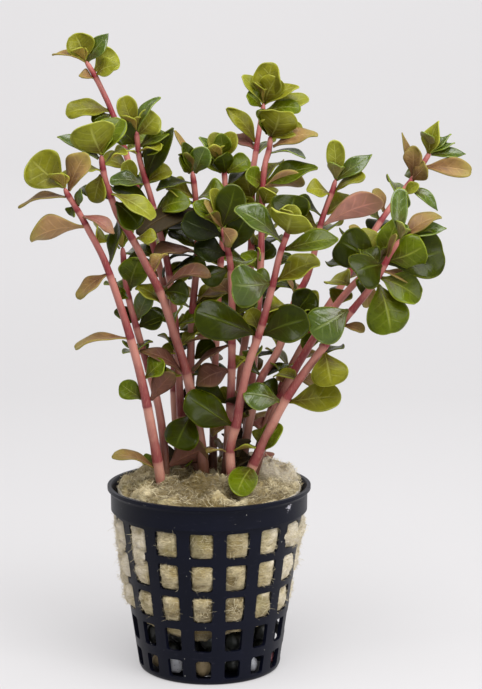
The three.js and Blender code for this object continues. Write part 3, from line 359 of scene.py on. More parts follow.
# Pebbles: kind, then centre x, y, z and half sizes
PEBBLES = [
    ["pale", -8.2, -11.2, 3.3, 1.9, 1.7, 2.2], ["tan", -1.4, -13.6, 3.2, 1.9, 1.6, 2.1],
    ["pale", 10.6, -9.6, 3.1, 1.3, 1.3, 1.8], ["pink", 15.2, -4.2, 3.1, 1.1, 1.1, 1.5],
    ["dark", 6, -13.6, 9.9, 2, 1.4, 2.2], ["dark", -13.6, -8.2, 10.4, 1.6, 1.4, 2.6],
    ["tan", -12.6, -6, 2.9, 1.4, 1.3, 1.8], ["pale", 3, 10.5, 3.2, 2.2, 1.9, 2],
]


# Materials

def tint(red, green, blue):
    """A colour as it is seen, from 0 to 255, as the linear light that a shader takes."""
    light = []
    for part in (red, green, blue):
        share = part / 255
        light.append(share / 12.92 if share < 0.04045 else ((share + 0.055) / 1.055) ** 2.4)
    return (*light, 1)


class Wire:
    """One output of a node. Sums written with it become Math nodes."""

    def __init__(self, finish, socket):
        self.finish = finish
        self.socket = socket

    def __add__(self, other):
        return self.finish.maths("ADD", self, other)

    def __sub__(self, other):
        return self.finish.maths("SUBTRACT", self, other)

    def __rsub__(self, other):
        return self.finish.maths("SUBTRACT", other, self)

    def __mul__(self, other):
        return self.finish.maths("MULTIPLY", self, other)

    def __truediv__(self, other):
        return self.finish.maths("DIVIDE", self, other)

    def __abs__(self):
        return self.finish.maths("ABSOLUTE", self)

    __radd__ = __add__


class Finish:
    """A material under construction."""

    def __init__(self, name, **shader):
        self.material = bpy.data.materials.new(name)
        self.material.use_nodes = True
        self.tree = self.material.node_tree
        self.tree.nodes.clear()
        self.surface = self.tree.nodes.new("ShaderNodeBsdfPrincipled")
        self.fill(self.surface, shader)
        output = self.tree.nodes.new("ShaderNodeOutputMaterial")
        self.tree.links.new(self.surface.outputs[0], output.inputs["Surface"])

    def fill(self, node, sockets):
        for key, value in sockets.items():
            if isinstance(value, Wire):
                self.tree.links.new(value.socket, node.inputs[key])
            else:
                node.inputs[key].default_value = value

    def node(self, kind, settings, sockets, out=0):
        made = self.tree.nodes.new("ShaderNode" + kind)
        for key, value in settings.items():
            setattr(made, key, value)
        self.fill(made, sockets)
        return Wire(self, made.outputs[out])

    def maths(self, operation, first, second=0.0):
        return self.node("Math", {"operation": operation}, {0: first, 1: second})

    def place(self):
        return self.node("TexCoord", {}, {}, "Object")

    def noise(self, size, detail=3.0, stretch=(1, 1, 1), rough=0.5):
        """Soft blotches of about this size in millimetres, from 0 to 1."""
        scale = [part / (size * MM) for part in stretch]
        where = self.node("Mapping", {}, {"Vector": self.place(), "Scale": scale})
        blotches = {"Vector": where, "Scale": 1.0, "Detail": detail, "Roughness": rough}
        return self.node("TexNoise", {}, blotches, "Fac")

    def rise(self, value, low, high):
        """0 where the value is below low, 1 above high, with a soft step between."""
        span = {"Value": value, "From Min": low, "From Max": high}
        return self.node("MapRange", {"interpolation_type": "SMOOTHSTEP"}, span, "Result")

    def mix(self, share, first, second, blend="MIX"):
        """Colours that are written as three numbers are as they are seen."""
        settings = {"data_type": "RGBA", "blend_type": blend}
        first, second = (part if isinstance(part, Wire) else tint(*part) for part in (first, second))
        return self.node("Mix", settings, {0: share, 6: first, 7: second}, 2)

    def attribute(self, name):
        return self.node("Attribute", {"attribute_name": name}, {}, "Fac")

    def bump(self, height, distance, strength=1.0):
        sockets = {"Height": height, "Distance": distance * MM, "Strength": strength}
        self.fill(self.surface, {"Normal": self.node("Bump", {}, sockets)})

    def paint(self, **sockets):
        self.fill(self.surface, {key.replace("_", " "): value for key, value in sockets.items()})
        return self.material


# The middle of the pale scrape on the pot's band
SCRAPE = Vector((19.6, -14.7, 43.4))


def pot_plastic():
    finish = Finish("pot_plastic", **{"Specular IOR Level": 0.12})
    cloud = finish.noise(9)
    colour = finish.mix(cloud, (5, 7, 17), (11, 14, 30))
    grains = finish.noise(0.55, 1.0)
    dust = finish.rise(grains, 0.79, 0.83)
    colour = finish.mix(dust, colour, (200, 198, 190))
    scuffs = finish.rise(finish.noise(2.2, 5.0, (1, 1, 4)), 0.6, 0.8)
    colour = finish.mix(scuffs * 0.1, colour, (90, 88, 100))
    away = finish.node("VectorMath", {"operation": "DISTANCE"}, {0: finish.place(), 1: SCRAPE * MM}, "Value")
    ragged = finish.noise(1.1, 3.0, (1, 1, 1.6))
    scrape = finish.rise(away / MM + ragged * 3.2, 2.6, 2.2)
    colour = finish.mix(scrape * 0.85, colour, (176, 174, 182))
    finish.bump(finish.noise(0.5, 2.0) * 0.4 + cloud, 0.05, 0.5)
    return finish.paint(Base_Color=colour, Roughness=0.36 + scuffs * 0.2 + cloud * 0.08)


def wool_fibre():
    finish = Finish("stone_wool", **{"Specular IOR Level": 0.2, "Sheen Weight": 0.15})
    clumps = finish.noise(5, 4.0)
    hairs = finish.noise(0.7, 5.0, (0.6, 0.6, 1.6), 0.65)
    colour = finish.mix(finish.rise(clumps, 0.35, 0.65), (166, 148, 102), (212, 197, 157))
    stain = finish.rise(finish.noise(9, 3.0), 0.52, 0.68)
    colour = finish.mix(stain * 0.55, colour, (124, 116, 56))
    # Painted light and shade: the shade mark lifts the wool's crowns, its proud sides and tufts and the paler
    # patches of the top to pale cream as painted light, and the fibre lines are weaker there
    shade = finish.attribute("shade") + (clumps - 0.5) * 0.3
    pale = finish.rise(shade, 0.65, 1.25)
    colour = finish.mix(pale * 0.85, colour, (242, 232, 212))
    colour = finish.mix(finish.rise(hairs, 0.56, 0.34) * (0.6 - pale * 0.4), colour, (128, 110, 66))
    # Painted shade: the creases of the wool are darkened to olive
    painted_crease_shade = finish.rise(shade, 0.4, 0.0)
    colour = finish.mix(painted_crease_shade * 0.85, colour, (86, 68, 20))
    finish.bump(hairs + clumps * 0.5, 1.1, 1.0)
    return finish.paint(Base_Color=colour, Roughness=0.95)


def wool_hair():
    finish = Finish("stone_wool_hair", **{"Specular IOR Level": 0.3})
    colour = finish.mix(finish.attribute("shade"), (92, 75, 24), (235, 223, 188))
    return finish.paint(Base_Color=colour, Roughness=0.7)


def stem_skin():
    finish = Finish("stem_skin", **{"Subsurface Weight": 0.1, "Subsurface Radius": (1.0, 0.4, 0.3),
                                    "Subsurface Scale": 0.5 * MM, "Specular IOR Level": 0.35})
    share = finish.attribute("internode")
    ring = finish.attribute("ring")
    young = finish.attribute("young")
    patches = finish.noise(2.4, 3.0)
    pale = finish.mix(young, (182, 132, 114), (176, 106, 98))
    deep = finish.mix(young, (126, 58, 56), (126, 32, 44))
    blush = finish.rise(share + (patches - 0.5) * 0.5, 0.95, 0.05)
    colour = finish.mix(blush, pale, deep)
    streaks = finish.rise(finish.noise(0.8, 3.0, (3, 3, 0.5)), 0.5, 0.75)
    colour = finish.mix(streaks * 0.2, colour, (206, 158, 128))
    colour = finish.mix(ring * 0.35, colour, (104, 46, 44))
    # Painted shade: the feet of the stems behind, and the stems that stand in the bush's shade, are darkened to
    # brown
    colour = finish.mix(finish.attribute("foot") * 0.8, colour, (78, 54, 34))
    finish.bump(streaks * 0.5 + patches, 0.12, 0.6)
    return finish.paint(Base_Color=colour, Roughness=0.36 + ring * 0.2)


# Each tone of leaf: its slot, its roughness, how strong its side veins are, its gloss, and then the seen colours
# of the blade, its veins, its rim, its foot (partly its brown heart, partly painted shade) and its underside
TONES = {
    "d": ["leaf_dark", 0.18, 0.15, 0.11,
          (46, 54, 0), (92, 104, 28), (104, 112, 24), (44, 38, 4), (96, 78, 40)],
    "g": ["leaf_green", 0.22, 0.3, 0.14,
          (80, 92, 6), (142, 148, 60), (148, 160, 48), (60, 52, 8), (130, 114, 50)],
    "o": ["leaf_olive", 0.3, 0.4, 0.14,
          (114, 113, 20), (160, 158, 76), (170, 174, 68), (74, 58, 14), (144, 122, 56)],
    "y": ["leaf_yellow", 0.32, 0.4, 0.16,
          (122, 124, 28), (174, 175, 88), (182, 186, 82), (82, 68, 18), (148, 140, 58)],
    "b": ["leaf_bronze", 0.36, 0.35, 0.14,
          (132, 104, 62), (174, 142, 96), (138, 132, 58), (98, 60, 38), (152, 120, 82)],
    "p": ["leaf_pink", 0.36, 0.35, 0.14,
          (138, 94, 80), (184, 142, 120), (138, 114, 72), (126, 64, 60), (184, 132, 116)],
    # A darker copy of the pink tone: partly old leaves and partly painted shade for leaves in the thick of the bush
    "m": ["leaf_pink", 0.4, 0.4, 0.12,
          (94, 61, 46), (142, 104, 84), (98, 82, 46), (80, 42, 35), (106, 71, 58)],
    "s": ["leaf_pale", 0.16, 0.3, 0.42,
          (70, 88, 14), (138, 150, 82), (148, 162, 62), (74, 66, 20), (136, 126, 76)],
    # Near-black old leaves: partly dead leaves and partly painted shade between the stems at the foot
    "k": ["leaf_bronze", 0.5, 0.2, 0.1,
          (44, 34, 14), (72, 56, 30), (60, 50, 24), (30, 20, 8), (54, 40, 22)],
    # A darker copy of the dark tone: painted shade for leaves deep in the bush
    "n": ["leaf_dark", 0.3, 0.15, 0.1,
          (24, 31, 2), (54, 62, 20), (62, 72, 20), (24, 22, 4), (58, 48, 26)],
}
UNDER_GLOSS = 0.12
UNDER_ROUGHER = 0.12


def scaled(colour, strength):
    return [min(255, part * strength) for part in colour]


def leaf_side(tone, upper):
    slot, shine, veined, gloss, blade, vein, rim, foot, under = TONES[tone]
    finish = Finish(slot + ("_upper" if upper else "_under"), **{
        "Subsurface Weight": 0.35, "Subsurface Radius": (1.0, 0.9, 0.3), "Subsurface Scale": 0.5 * MM,
        "Specular IOR Level": gloss if upper else UNDER_GLOSS,
    })
    uv = finish.node("TexCoord", {}, {}, "UV")
    across = finish.node("SeparateXYZ", {}, {0: uv}, "X")
    along = finish.node("SeparateXYZ", {}, {0: uv}, "Y")
    off = abs(across * 2 - 1)
    shade = finish.attribute("shade")
    blotch = finish.noise(1.8, 3.0)
    rib = finish.rise(off, 0.1, 0.0) * finish.rise(along, 1.0, 0.7)
    wave = finish.maths("COSINE", (along * 5.2 - off * 1.25 + shade * 0.6) * math.tau)
    side_veins = finish.rise(wave, 0.72, 1.0) * finish.rise(off, 0.9, 0.5) * finish.rise(along, 0.98, 0.7)
    veins = finish.maths("MAXIMUM", rib, side_veins * veined)
    ragged = along + (blotch - 0.5) * 0.3
    edge = finish.maths("MAXIMUM", finish.rise(off, 0.9, 0.985), finish.rise(along, 0.965, 0.995))
    tip = finish.rise(ragged, 0.6, 1.0)
    if upper:
        colour = finish.mix(blotch, scaled(blade, 0.82), scaled(blade, 1.16))
        # The foot of the blade darkens: partly the leaf's own brown heart, partly painted shade where the leaf
        # meets the stem
        root = finish.rise(ragged, 0.68, 0.16) * finish.rise(off, 1.15, 0.3)
        colour = finish.mix(root * 0.8, colour, foot)
        if tone in "bpm":
            colour = finish.mix(tip * 0.5, colour, rim)
        colour = finish.mix(edge * 0.5, colour, rim)
        colour = finish.mix(veins * 0.5, colour, vein)
        specks = finish.rise(finish.noise(0.7, 1.0), 0.73, 0.77)
        colour = finish.mix(specks * 0.5, colour, (40, 34, 12))
        rough = shine + blotch * 0.12
    else:
        colour = finish.mix(blotch, scaled(under, 0.85), scaled(under, 1.12))
        colour = finish.mix(tip * 0.55, colour, rim)
        colour = finish.mix(edge * 0.5, colour, rim)
        colour = finish.mix(veins * 0.6, colour, scaled(under, 1.3))
        rough = shine + UNDER_ROUGHER + blotch * 0.1
    colour = finish.mix(0.55, colour, finish.mix(shade, (180, 180, 180), (255, 255, 255)), "MULTIPLY")
    finish.bump(veins * (-0.6 if upper else 0.8) + blotch * 0.4 + finish.noise(0.6, 2.0) * 0.15, 0.22, 0.8)
    return finish.paint(Base_Color=colour, Roughness=rough)


def stone_face(name, dark, light, speck, rough):
    finish = Finish(name)
    grain = finish.noise(0.5, 4.0)
    colour = finish.mix(finish.noise(1.6, 3.0), dark, light)
    colour = finish.mix(finish.rise(grain, 0.6, 0.7) * 0.7, colour, speck)
    finish.bump(grain, 0.12, 0.7)
    return finish.paint(Base_Color=colour, Roughness=rough)


# Making pieces

def mesh_object(name, bm, materials):
    """The shape as an object in metres, smooth and with its materials."""
    bmesh.ops.scale(bm, vec=(MM, MM, MM), verts=bm.verts)
    mesh = bpy.data.meshes.new(name)
    bm.to_mesh(mesh)
    bm.free()
    mesh.polygons.foreach_set("use_smooth", [True] * len(mesh.polygons))
    for material in materials:
        mesh.materials.append(material)
    return put(name, mesh)


def mesh_piece(name, bm, materials, nodes, modifiers=()):
    """The finished piece: the object with its modifiers and its place in the frame."""
    piece = mesh_object(name, bm, materials)
    for kind, settings in modifiers:
        modifier = piece.modifiers.new(kind.lower(), kind)
        for key, value in settings.items():
            setattr(modifier, key, value)
    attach(piece, "root")
    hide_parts(*nodes)


def new_mesh(*attributes):
    bm = bmesh.new()
    bm.loops.layers.uv.new("UVMap")
    for attribute in attributes:
        bm.verts.layers.float.new(attribute)
    return bm


def grid(bm, across, along, place):
    """A grid whose points lie where place(u, v) says, with u and v from 0 to 1."""
    verts = bmesh.ops.create_grid(bm, x_segments=across, y_segments=along, size=1, calc_uvs=True)["verts"]
    for vert in verts:
        vert.co = place((vert.co.x + 1) / 2, (vert.co.y + 1) / 2)
    return verts


def close_up(bm, gap=0.001):
    """Join the points that meet, and turn the faces outwards."""
    bmesh.ops.remove_doubles(bm, verts=bm.verts, dist=gap)
    bmesh.ops.recalc_face_normals(bm, faces=bm.faces)


def lerp(low, high, share):
    return low + (high - low) * share


# Stems

NODE_MERGE = 3.4
NODE_SPACING = 21
RING_STEP = 0.6
RING_WIDTH = 0.5
RING_SWELL = 0.05
WAIST = 0.05
TIP_TAPER = 1.6
SKIN_WOBBLE = 0.05
STEM_MARKS = ("internode", "ring", "young", "foot")
STEM_AROUND = 12
STEM_SLIMMER = 0.9
SAMPLES = 30
STEM_SMOOTH = 26
BEHIND_DEPTH = -5
FOOT_SHADE = 9


class Stem:
    def __init__(self, number, girth, line, large, small, painted_bush_shade=0):
        # How much the stem is painted darker as the bush's shade, most at its foot
        self.painted_bush_shade = painted_bush_shade
        self.name = f"stem_{number:02d}"
        self.number = number
        self.girth = girth
        self.large = large
        self.small = small
        self.line = [(u, v, y * (1 + FAN_OUT * (v - FAN_START))) for u, v, y in line]
        points = [seen(*point) for point in self.line]
        root = points[0] + (points[0] - points[1]).normalized() * PLANTED_DEPTH
        self.points = [root, *points]
        spans = len(self.points) - 1
        rough = [self.at(i / (spans * SAMPLES)) for i in range(spans * SAMPLES + 1)]
        self.walk = []
        for i, point in enumerate(rough):
            reach = min(i, len(rough) - 1 - i, STEM_SMOOTH)
            self.walk.append(sum(rough[i - reach:i + reach + 1], Vector()) / (2 * reach + 1))
        self.reach = [0.0]
        for here, there in zip(self.walk, self.walk[1:]):
            self.reach.append(self.reach[-1] + (there - here).length)

    def at(self, share):
        """The point of the smooth line through the stem's points, at this share of their number."""
        points = self.points
        last = len(points) - 1
        i = min(int(share * last), last - 1)
        t = share * last - i
        here, there = points[i], points[i + 1]
        before = points[i - 1] if i else here * 2 - there
        after = points[i + 2] if i + 2 <= last else there * 2 - here
        leave, arrive = (there - before) / 2, (after - here) / 2
        bend = (here - there) * 2 + leave + arrive
        ease = (there - here) * 3 - leave * 2 - arrive
        return here + leave * t + ease * t * t + bend * t ** 3

    def along(self, distance):
        """The point and the direction at this distance from the root."""
        i = 0
        while i < len(self.reach) - 2 and self.reach[i + 1] < distance:
            i += 1
        share = (distance - self.reach[i]) / (self.reach[i + 1] - self.reach[i])
        return self.walk[i].lerp(self.walk[i + 1], share), (self.walk[i + 1] - self.walk[i]).normalized()

    def joint(self, height):
        """Where a leaf with its joint at this height sits: the place, its depth, the stem's way, the distance."""
        i = 0
        while i < len(self.line) - 2 and self.line[i + 1][1] < height:
            i += 1
        low, high = self.line[i], self.line[i + 1]
        share = min(1, max(0, (height - low[1]) / (high[1] - low[1])))
        u, v, y = (lerp(a, b, share) for a, b in zip(low, high))
        way = (seen(*high) - seen(*low)).normalized()
        mark = (i + 1 + share) * SAMPLES
        whole = min(int(mark), len(self.reach) - 2)
        return seen(u, v, y), y, way, lerp(self.reach[whole], self.reach[whole + 1], mark - whole)

    def nodes(self):
        """The distances of the stem's rings: one at each pair of leaves, and more where the leaves have gone."""
        marks = []
        for distance in sorted(self.joint(row[1])[3] for row in self.large + self.small):
            if marks and distance - marks[-1] < NODE_MERGE:
                continue
            marks.append(distance)
        rings = [0]
        for mark in marks:
            gaps = max(1, round((mark - rings[-1]) / NODE_SPACING))
            rings += [lerp(rings[-1], mark, (k + 1) / gaps) for k in range(gaps)]
        return rings

    def thickness(self, distance):
        return STEM_SLIMMER * lerp(self.girth[0], self.girth[1], distance / self.reach[-1])


def stem_tube(stem):
    bm = new_mesh(*STEM_MARKS)
    length = stem.reach[-1]
    nodes = stem.nodes()
    behind = stem.line[0][2] > BEHIND_DEPTH
    marks = []

    def place(u, v):
        distance = v * length
        middle, way = stem.along(distance)
        side = way.cross(Vector((0, -1, 0))).normalized()
        front = side.cross(way)
        below = max([node for node in nodes if node <= distance + TINY], default=0)
        above = min([node for node in nodes if node > distance + TINY], default=length)
        nearest = min(abs(distance - below), abs(distance - above))
        ring = math.exp(-(nearest / RING_WIDTH) ** 2)
        share = (distance - below) / max(TINY, above - below)
        waist = 1 - WAIST * math.sin(math.pi * share)
        radius = stem.thickness(distance) / 2 * waist * (1 + RING_SWELL * ring)
        radius *= min(1, (length - distance) / TIP_TAPER) ** 0.5
        if v < TINY:
            radius = 0
        angle = math.tau * u
        spot = Vector((math.cos(angle), math.sin(angle), distance / 3 + stem.number * 9))
        wobble = 1 + SKIN_WOBBLE * noise.noise(spot)
        # Painted shade at the foot of the stems behind, and down the stems in the bush's shade
        foot = math.exp(-((distance - PLANTED_DEPTH) / FOOT_SHADE) ** 2) if behind else 0
        marks.append((share, ring, distance / length, max(foot, stem.painted_bush_shade * (1 - distance / length))))
        return middle + (side * math.cos(angle) - front * math.sin(angle)) * radius * wobble

    verts = grid(bm, STEM_AROUND, round(length / RING_STEP), place)
    layers = [bm.verts.layers.float[name] for name in STEM_MARKS]
    for vert, values in zip(verts, marks):
        for layer, value in zip(layers, values):
            vert[layer] = value
    close_up(bm)
    return bm


# Leaves

def blade_outline(along, widest, blunt, point):
    """The half width of a blade at this share of its length, as a share of its widest: a wedge at the foot, and a
    tip that is round or pointed."""
    if along < widest and point < 0:
        return (1 - (1 - along / widest) ** 2) ** 0.5
    if along < widest:
        return math.sin(math.pi / 2 * along / widest) ** FOOT_FULLNESS
    return (1 - ((along - widest) / (1 - widest)) ** blunt) ** (0.5 + 0.5 * max(0, point))


def grow_leaf(bm, stem, row, columns, stations, material):
    tone, height, tip_u, tip_v, nearer, width, turn, arch, *pointed = row
    joint, depth, stemway, distance = stem.joint(height)
    tip = seen(tip_u, tip_v, depth + nearer)
    axis = (tip - joint).normalized()
    slant = max(LEAST_SLANT, math.sqrt(max(0, 1 - axis.dot(stemway) ** 2)))
    crown = distance > stem.reach[-1] - CROWN_REACH
    base = joint + axis * (0 if crown else stem.thickness(distance) * LEAF_SEAT / slant)
    length = (tip - base).length
    front = EYE - base
    front = (front - axis * front.dot(axis)).normalized()
    upward = axis.cross(front)
    if upward.z < 0:
        upward.negate()
    angle = math.radians(turn)
    face = front * math.cos(angle) + upward * math.sin(angle)
    side = face.cross(axis)
    phase = chance.uniform(0, 1)
    large = row in stem.large
    width *= LARGE_SPREAD if large else LEAF_SPREAD
    widest = chance.uniform(*BLADE_WIDEST)
    blunt = chance.uniform(*BLADE_BLUNT)
    cup = LEAF_CUP * chance.uniform(*CUP_RANGE)
    point = chance.uniform(*POINTED)
    if turn <= WRAP_TURN and nearer <= WRAP_NEARER:
        cup, widest, blunt = FRONT_WRAP.values()
        point = 0
    if pointed or large:
        point = sum(pointed)
    if point < 0:
        cup = ROUND_CUP
    sharp = max(0, point)
    widest -= POINT_SHIFT * abs(point)
    blunt = lerp(blunt, SHARP_BLUNT, sharp)
    end_round = lerp(TIP_ROUND, TIP_SHARP, sharp)
    calm = 1 if point >= 0 else ROUND_CALM
    ruffle = chance.uniform(*RUFFLE) * width * calm
    twist = math.radians(chance.uniform(-TWIST, TWIST)) * calm
    notch = TIP_NOTCH * chance.choice([0, 0, 1]) * (1 - sharp)
    sway = chance.uniform(-SWAY, SWAY) * length
    droop = chance.uniform(*DROOP) * length
    shade = chance.uniform(0, 1)
    layer = bm.verts.layers.float["shade"]
    before = len(bm.faces)

    def place(u, v):
        half = width / 2 * blade_outline(v * (1 - end_round), widest, blunt, point)
        half = max(half, STALK_WIDTH / 2 * (1 - v ** STALK_POWER))
        off = 1 - 2 * u
        along = v * (1 - end_round * off ** 2)
        along -= notch * v ** NOTCH_POWER * math.exp(-(off / NOTCH_WIDTH) ** 2)
        across = off * half
        turned = twist * along
        out = side * math.cos(turned) + face * math.sin(turned)
        lift = face * math.cos(turned) - side * math.sin(turned)
        arc = 4 * along * (1 - along)
        wave = math.sin(math.tau * (RUFFLE_WAVES * along + phase + RUFFLE_SKEW * off))
        height = arch * length * arc + cup * abs(across) ** CUP_POWER / (width / 2) ** (CUP_POWER - 1)
        height -= droop * along ** 3
        height += ruffle * off ** 2 * wave * along
        return base + axis * (along * length) + out * (across + sway * arc) + lift * height

    for vert in grid(bm, columns, stations, place):
        vert[layer] = shade
    bm.faces.ensure_lookup_table()
    for face_made in bm.faces[before:]:
        face_made.material_index = material


# The bush is thick in its middle: pairs of leaves grow there too, crosswise from one ring to the next, mostly
# to the back. A zone is given as lowest and highest u and v, and the habit of its leaves as ranges.
THICK_ZONE = (-18, 34, 76, 132)
THICK_STEP = 6.5
THICK_REACH = 7
THICK_MARGIN = 6
THICK_ARCH = (0.04, 0.14)
THICK_HABIT = {"length": (7, 10), "climb": (5, 45), "width": (5.5, 7.5), "turn": (35, 75)}
THICK_TONES = "dddggob"
THICK_HIGH_TONES = "ddggoog"
THICK_HIGH_FROM = 108
THICK_SPREAD = (0.85, 1.2)
THICK_SWING = 14
THICK_BACK = 0.25
THICK_FRONT = -0.3
BARE_TIP = 4


def drawn_leaf(habit, tones, height, u, azimuth):
    """The row of a leaf with this habit but for its arch. The azimuth runs from the right to the back."""
    length = chance.uniform(*habit["length"])
    climb = math.radians(chance.uniform(*habit["climb"]))
    flat = length * math.cos(climb)
    return [chance.choice(tones), height, u + flat * math.cos(azimuth), height + length * math.sin(climb),
            flat * math.sin(azimuth), chance.uniform(*habit["width"]), chance.uniform(*habit["turn"])]


def thick_rows(stem):
    rows = []
    low_u, high_u, low_v, high_v = THICK_ZONE
    height = low_v + chance.uniform(0, THICK_STEP)
    spin = chance.uniform(0, 180)
    while height < min(stem.line[-1][1] - BARE_TIP, high_v):
        u = stem_u(stem, height)
        for half in (0, 180):
            azimuth = math.radians(spin + half + chance.uniform(-THICK_SWING, THICK_SWING))
            sideways, back = math.cos(azimuth), math.sin(azimuth)
            inner = low_u + THICK_MARGIN < u + THICK_REACH * sideways < high_u - THICK_MARGIN
            if back > THICK_BACK or (inner and back > THICK_FRONT):
                tones = THICK_TONES if height < THICK_HIGH_FROM else THICK_HIGH_TONES
                rows.append([*drawn_leaf(THICK_HABIT, tones, height, u, azimuth), chance.uniform(*THICK_ARCH)])
        height += THICK_STEP * chance.uniform(*THICK_SPREAD)
        spin += 90
    return rows


# The youngest leaves stand around the tip of each stem, in two pairs set crosswise.
BUD_PAIRS = [{"length": 5.4, "width": 3.6, "open": 42}, {"length": 3.8, "width": 2.8, "open": 22}]
BUD_START = (20, 70)
BUD_OPENING = (0.8, 1.2)
BUD_LENGTH = (0.85, 1.15)
BUD_TURN = 90
BUD_TURN_SPREAD = 65
BUD_ARCH = 0.06
BUD_BELOW_TIP = 0.1
BUD_TONE_REACH = 3


def bud_rows(stem):
    (low_u, low_v, _), (u, v, _) = stem.line[-2:]
    run = math.hypot(u - low_u, v - low_v)
    way_u, way_v = (u - low_u) / run, (v - low_v) / run
    near = [row[0] for row in stem.large + stem.small if row[1] > v - BUD_TONE_REACH and row[0] in "goyds"]
    tone = max(sorted(set(near)), key=near.count) if near else "o"
    rows = []
    start = chance.uniform(*BUD_START)
    for pair, bud in enumerate(BUD_PAIRS):
        for half in (0, 180):
            spin = math.radians(start + 90 * pair + half)
            opening = math.radians(bud["open"] * chance.uniform(*BUD_OPENING))
            length = bud["length"] * chance.uniform(*BUD_LENGTH)
            up, out = math.cos(opening) * length, math.sin(opening) * length
            sideways, back = math.cos(spin) * out, math.sin(spin) * out
            tip_u = u + way_u * up + way_v * sideways
            tip_v = v + way_v * up - way_u * sideways
            turn = BUD_TURN - BUD_TURN_SPREAD * math.sin(spin)
            rows.append([tone, v - BUD_BELOW_TIP, tip_u, tip_v, back, bud["width"], turn, BUD_ARCH])
    return rows


# Old leaves hang between the stems just above the wool; most are near black, partly as dead leaves and partly as
# painted shade between the stems.
LOW_ZONE = (-9, 13, 57, 74)
LOW_DEPTH = 5
LOW_STEP = 4
LOW_SPREAD = (1, 1.5)
LOW_AZIMUTH = (20, 160)
LOW_TONES = "kkbdkp"
LOW_ARCH = 0.12
LOW_HABIT = {"length": (5.5, 8), "climb": (-50, 25), "width": (4.5, 6.5), "turn": (20, 80)}


def low_rows(stem):
    rows = []
    if stem.line[0][2] > LOW_DEPTH:
        return rows
    low_u, high_u, low_v, high_v = LOW_ZONE
    height = low_v + chance.uniform(0, LOW_STEP)
    while height < high_v:
        u = stem_u(stem, height)
        if low_u < u < high_u:
            azimuth = math.radians(chance.uniform(*LOW_AZIMUTH))
            rows.append([*drawn_leaf(LOW_HABIT, LOW_TONES, height, u, azimuth), LOW_ARCH])
        height += LOW_STEP * chance.uniform(*LOW_SPREAD)
    return rows


def stem_u(stem, height):
    for low, high in zip(stem.line, stem.line[1:]):
        if height <= high[1]:
            break
    return lerp(low[0], high[0], (height - low[1]) / (high[1] - low[1]))


LEAF_MODIFIERS = [
    ("SUBSURF", {"levels": 1, "render_levels": 1}),
    ("SOLIDIFY", {"thickness": LEAF_THICKNESS * MM, "offset": -1, "material_offset": 1}),
]
LEAF_GRID = (6, 12)
SMALL_GRID = (4, 9)

leaf_sides = {tone: [leaf_side(tone, True), leaf_side(tone, False)] for tone in TONES}
skin = stem_skin()

stems = [Stem(number, **entry) for number, entry in enumerate(STEMS, 1)]
for stem in stems:
    mesh_piece(stem.name + "_skin", stem_tube(stem), [skin], [stem.name])
    for number, row in enumerate(stem.large, 1):
        bm = new_mesh("shade")
        grow_leaf(bm, stem, row, *LEAF_GRID, 0)
        node = f"leaf_{stem.number:02d}_{number}"
        mesh_piece(node + "_blade", bm, leaf_sides[row[0]], [node], LEAF_MODIFIERS)
    bm = new_mesh("shade")
    rows = stem.small + bud_rows(stem) + thick_rows(stem) + low_rows(stem)
    tones = sorted({row[0] for row in rows})
    for row in rows:
        grow_leaf(bm, stem, row, *SMALL_GRID, 2 * tones.index(row[0]))
    sides = [side for tone in tones for side in leaf_sides[tone]]
    mesh_piece(stem.name + "_leaves", bm, sides, [stem.name], LEAF_MODIFIERS)


# Net pot

POT_STEPS = 96
KNOB_STEPS = 32
FLOOR_KNOB = [(0.01, 0.1), (2.2, 0.1), (2.2, 1.1), (1.6, 1.5), (0.01, 1.5)]
FLOOR_MIDDLE = 2
FLOOR_CORNER = 0.8
CELL_STEPS = 6
OVERLAP = 0.3


def cone_radius(z):
    return FOOT_RADIUS + (CONE_TOP_RADIUS - FOOT_RADIUS) * z / POT_HEIGHT


def pierced(bm, cells, levels, open_levels, girth, half_gap, thickness, corner, place):
    """A ring of bars: a flat sheet in true size with an opening in each cell at each open level, given its
    thickness and rounded corners, and then bent to where place(angle, level, depth) says."""
    cell = math.tau / cells

    def angle_of(column, level):
        whole, k = divmod(column, CELL_STEPS)
        gap = half_gap(level) / girth(level)
        share = {0: -cell / 2, 1: -gap, 2: -gap / 2, 3: 0, 4: gap / 2, 5: gap}[k]
        return whole * cell + share

    part = bmesh.new()
    wide, high = cells * CELL_STEPS, len(levels) - 1
    made = bmesh.ops.create_grid(part, x_segments=wide, y_segments=high, size=1)["verts"]
    seats = {vert: (round((vert.co.x + 1) / 2 * wide), round((vert.co.y + 1) / 2 * high)) for vert in made}
    holes = []
    for face in part.faces:
        column = min(seats[vert][0] for vert in face.verts)
        row = min(seats[vert][1] for vert in face.verts)
        if 1 <= column % CELL_STEPS <= 4 and row in open_levels:
            holes.append(face)
    corners = set()
    for vert, (column, row) in seats.items():
        level = levels[row]
        vert.co = Vector((angle_of(column, level) * girth(level), 0, level))
        if column % CELL_STEPS in (1, 5) and (row in open_levels or row - 1 in open_levels):
            corners.add((round(vert.co.x, 2), round(vert.co.z, 2)))
    bmesh.ops.delete(part, geom=holes, context="FACES")
    bmesh.ops.solidify(part, geom=part.faces, thickness=thickness)
    posts = []
    for edge in part.edges:
        one, two = (vert.co for vert in edge.verts)
        upright = abs(one.y - two.y) > thickness / 2
        if upright and (round(one.x, 2), round(one.z, 2)) in corners:
            posts.append(edge)
    bmesh.ops.bevel(part, geom=posts, offset=corner, segments=3, profile=0.5, affect="EDGES", material=-1)
    front = min(vert.co.y for vert in part.verts)
    for vert in part.verts:
        angle = vert.co.x / girth(vert.co.z)
        vert.co = place(angle, vert.co.z, abs(vert.co.y - front))
    close_up(part, 0.01)
    add_mesh(bm, part)


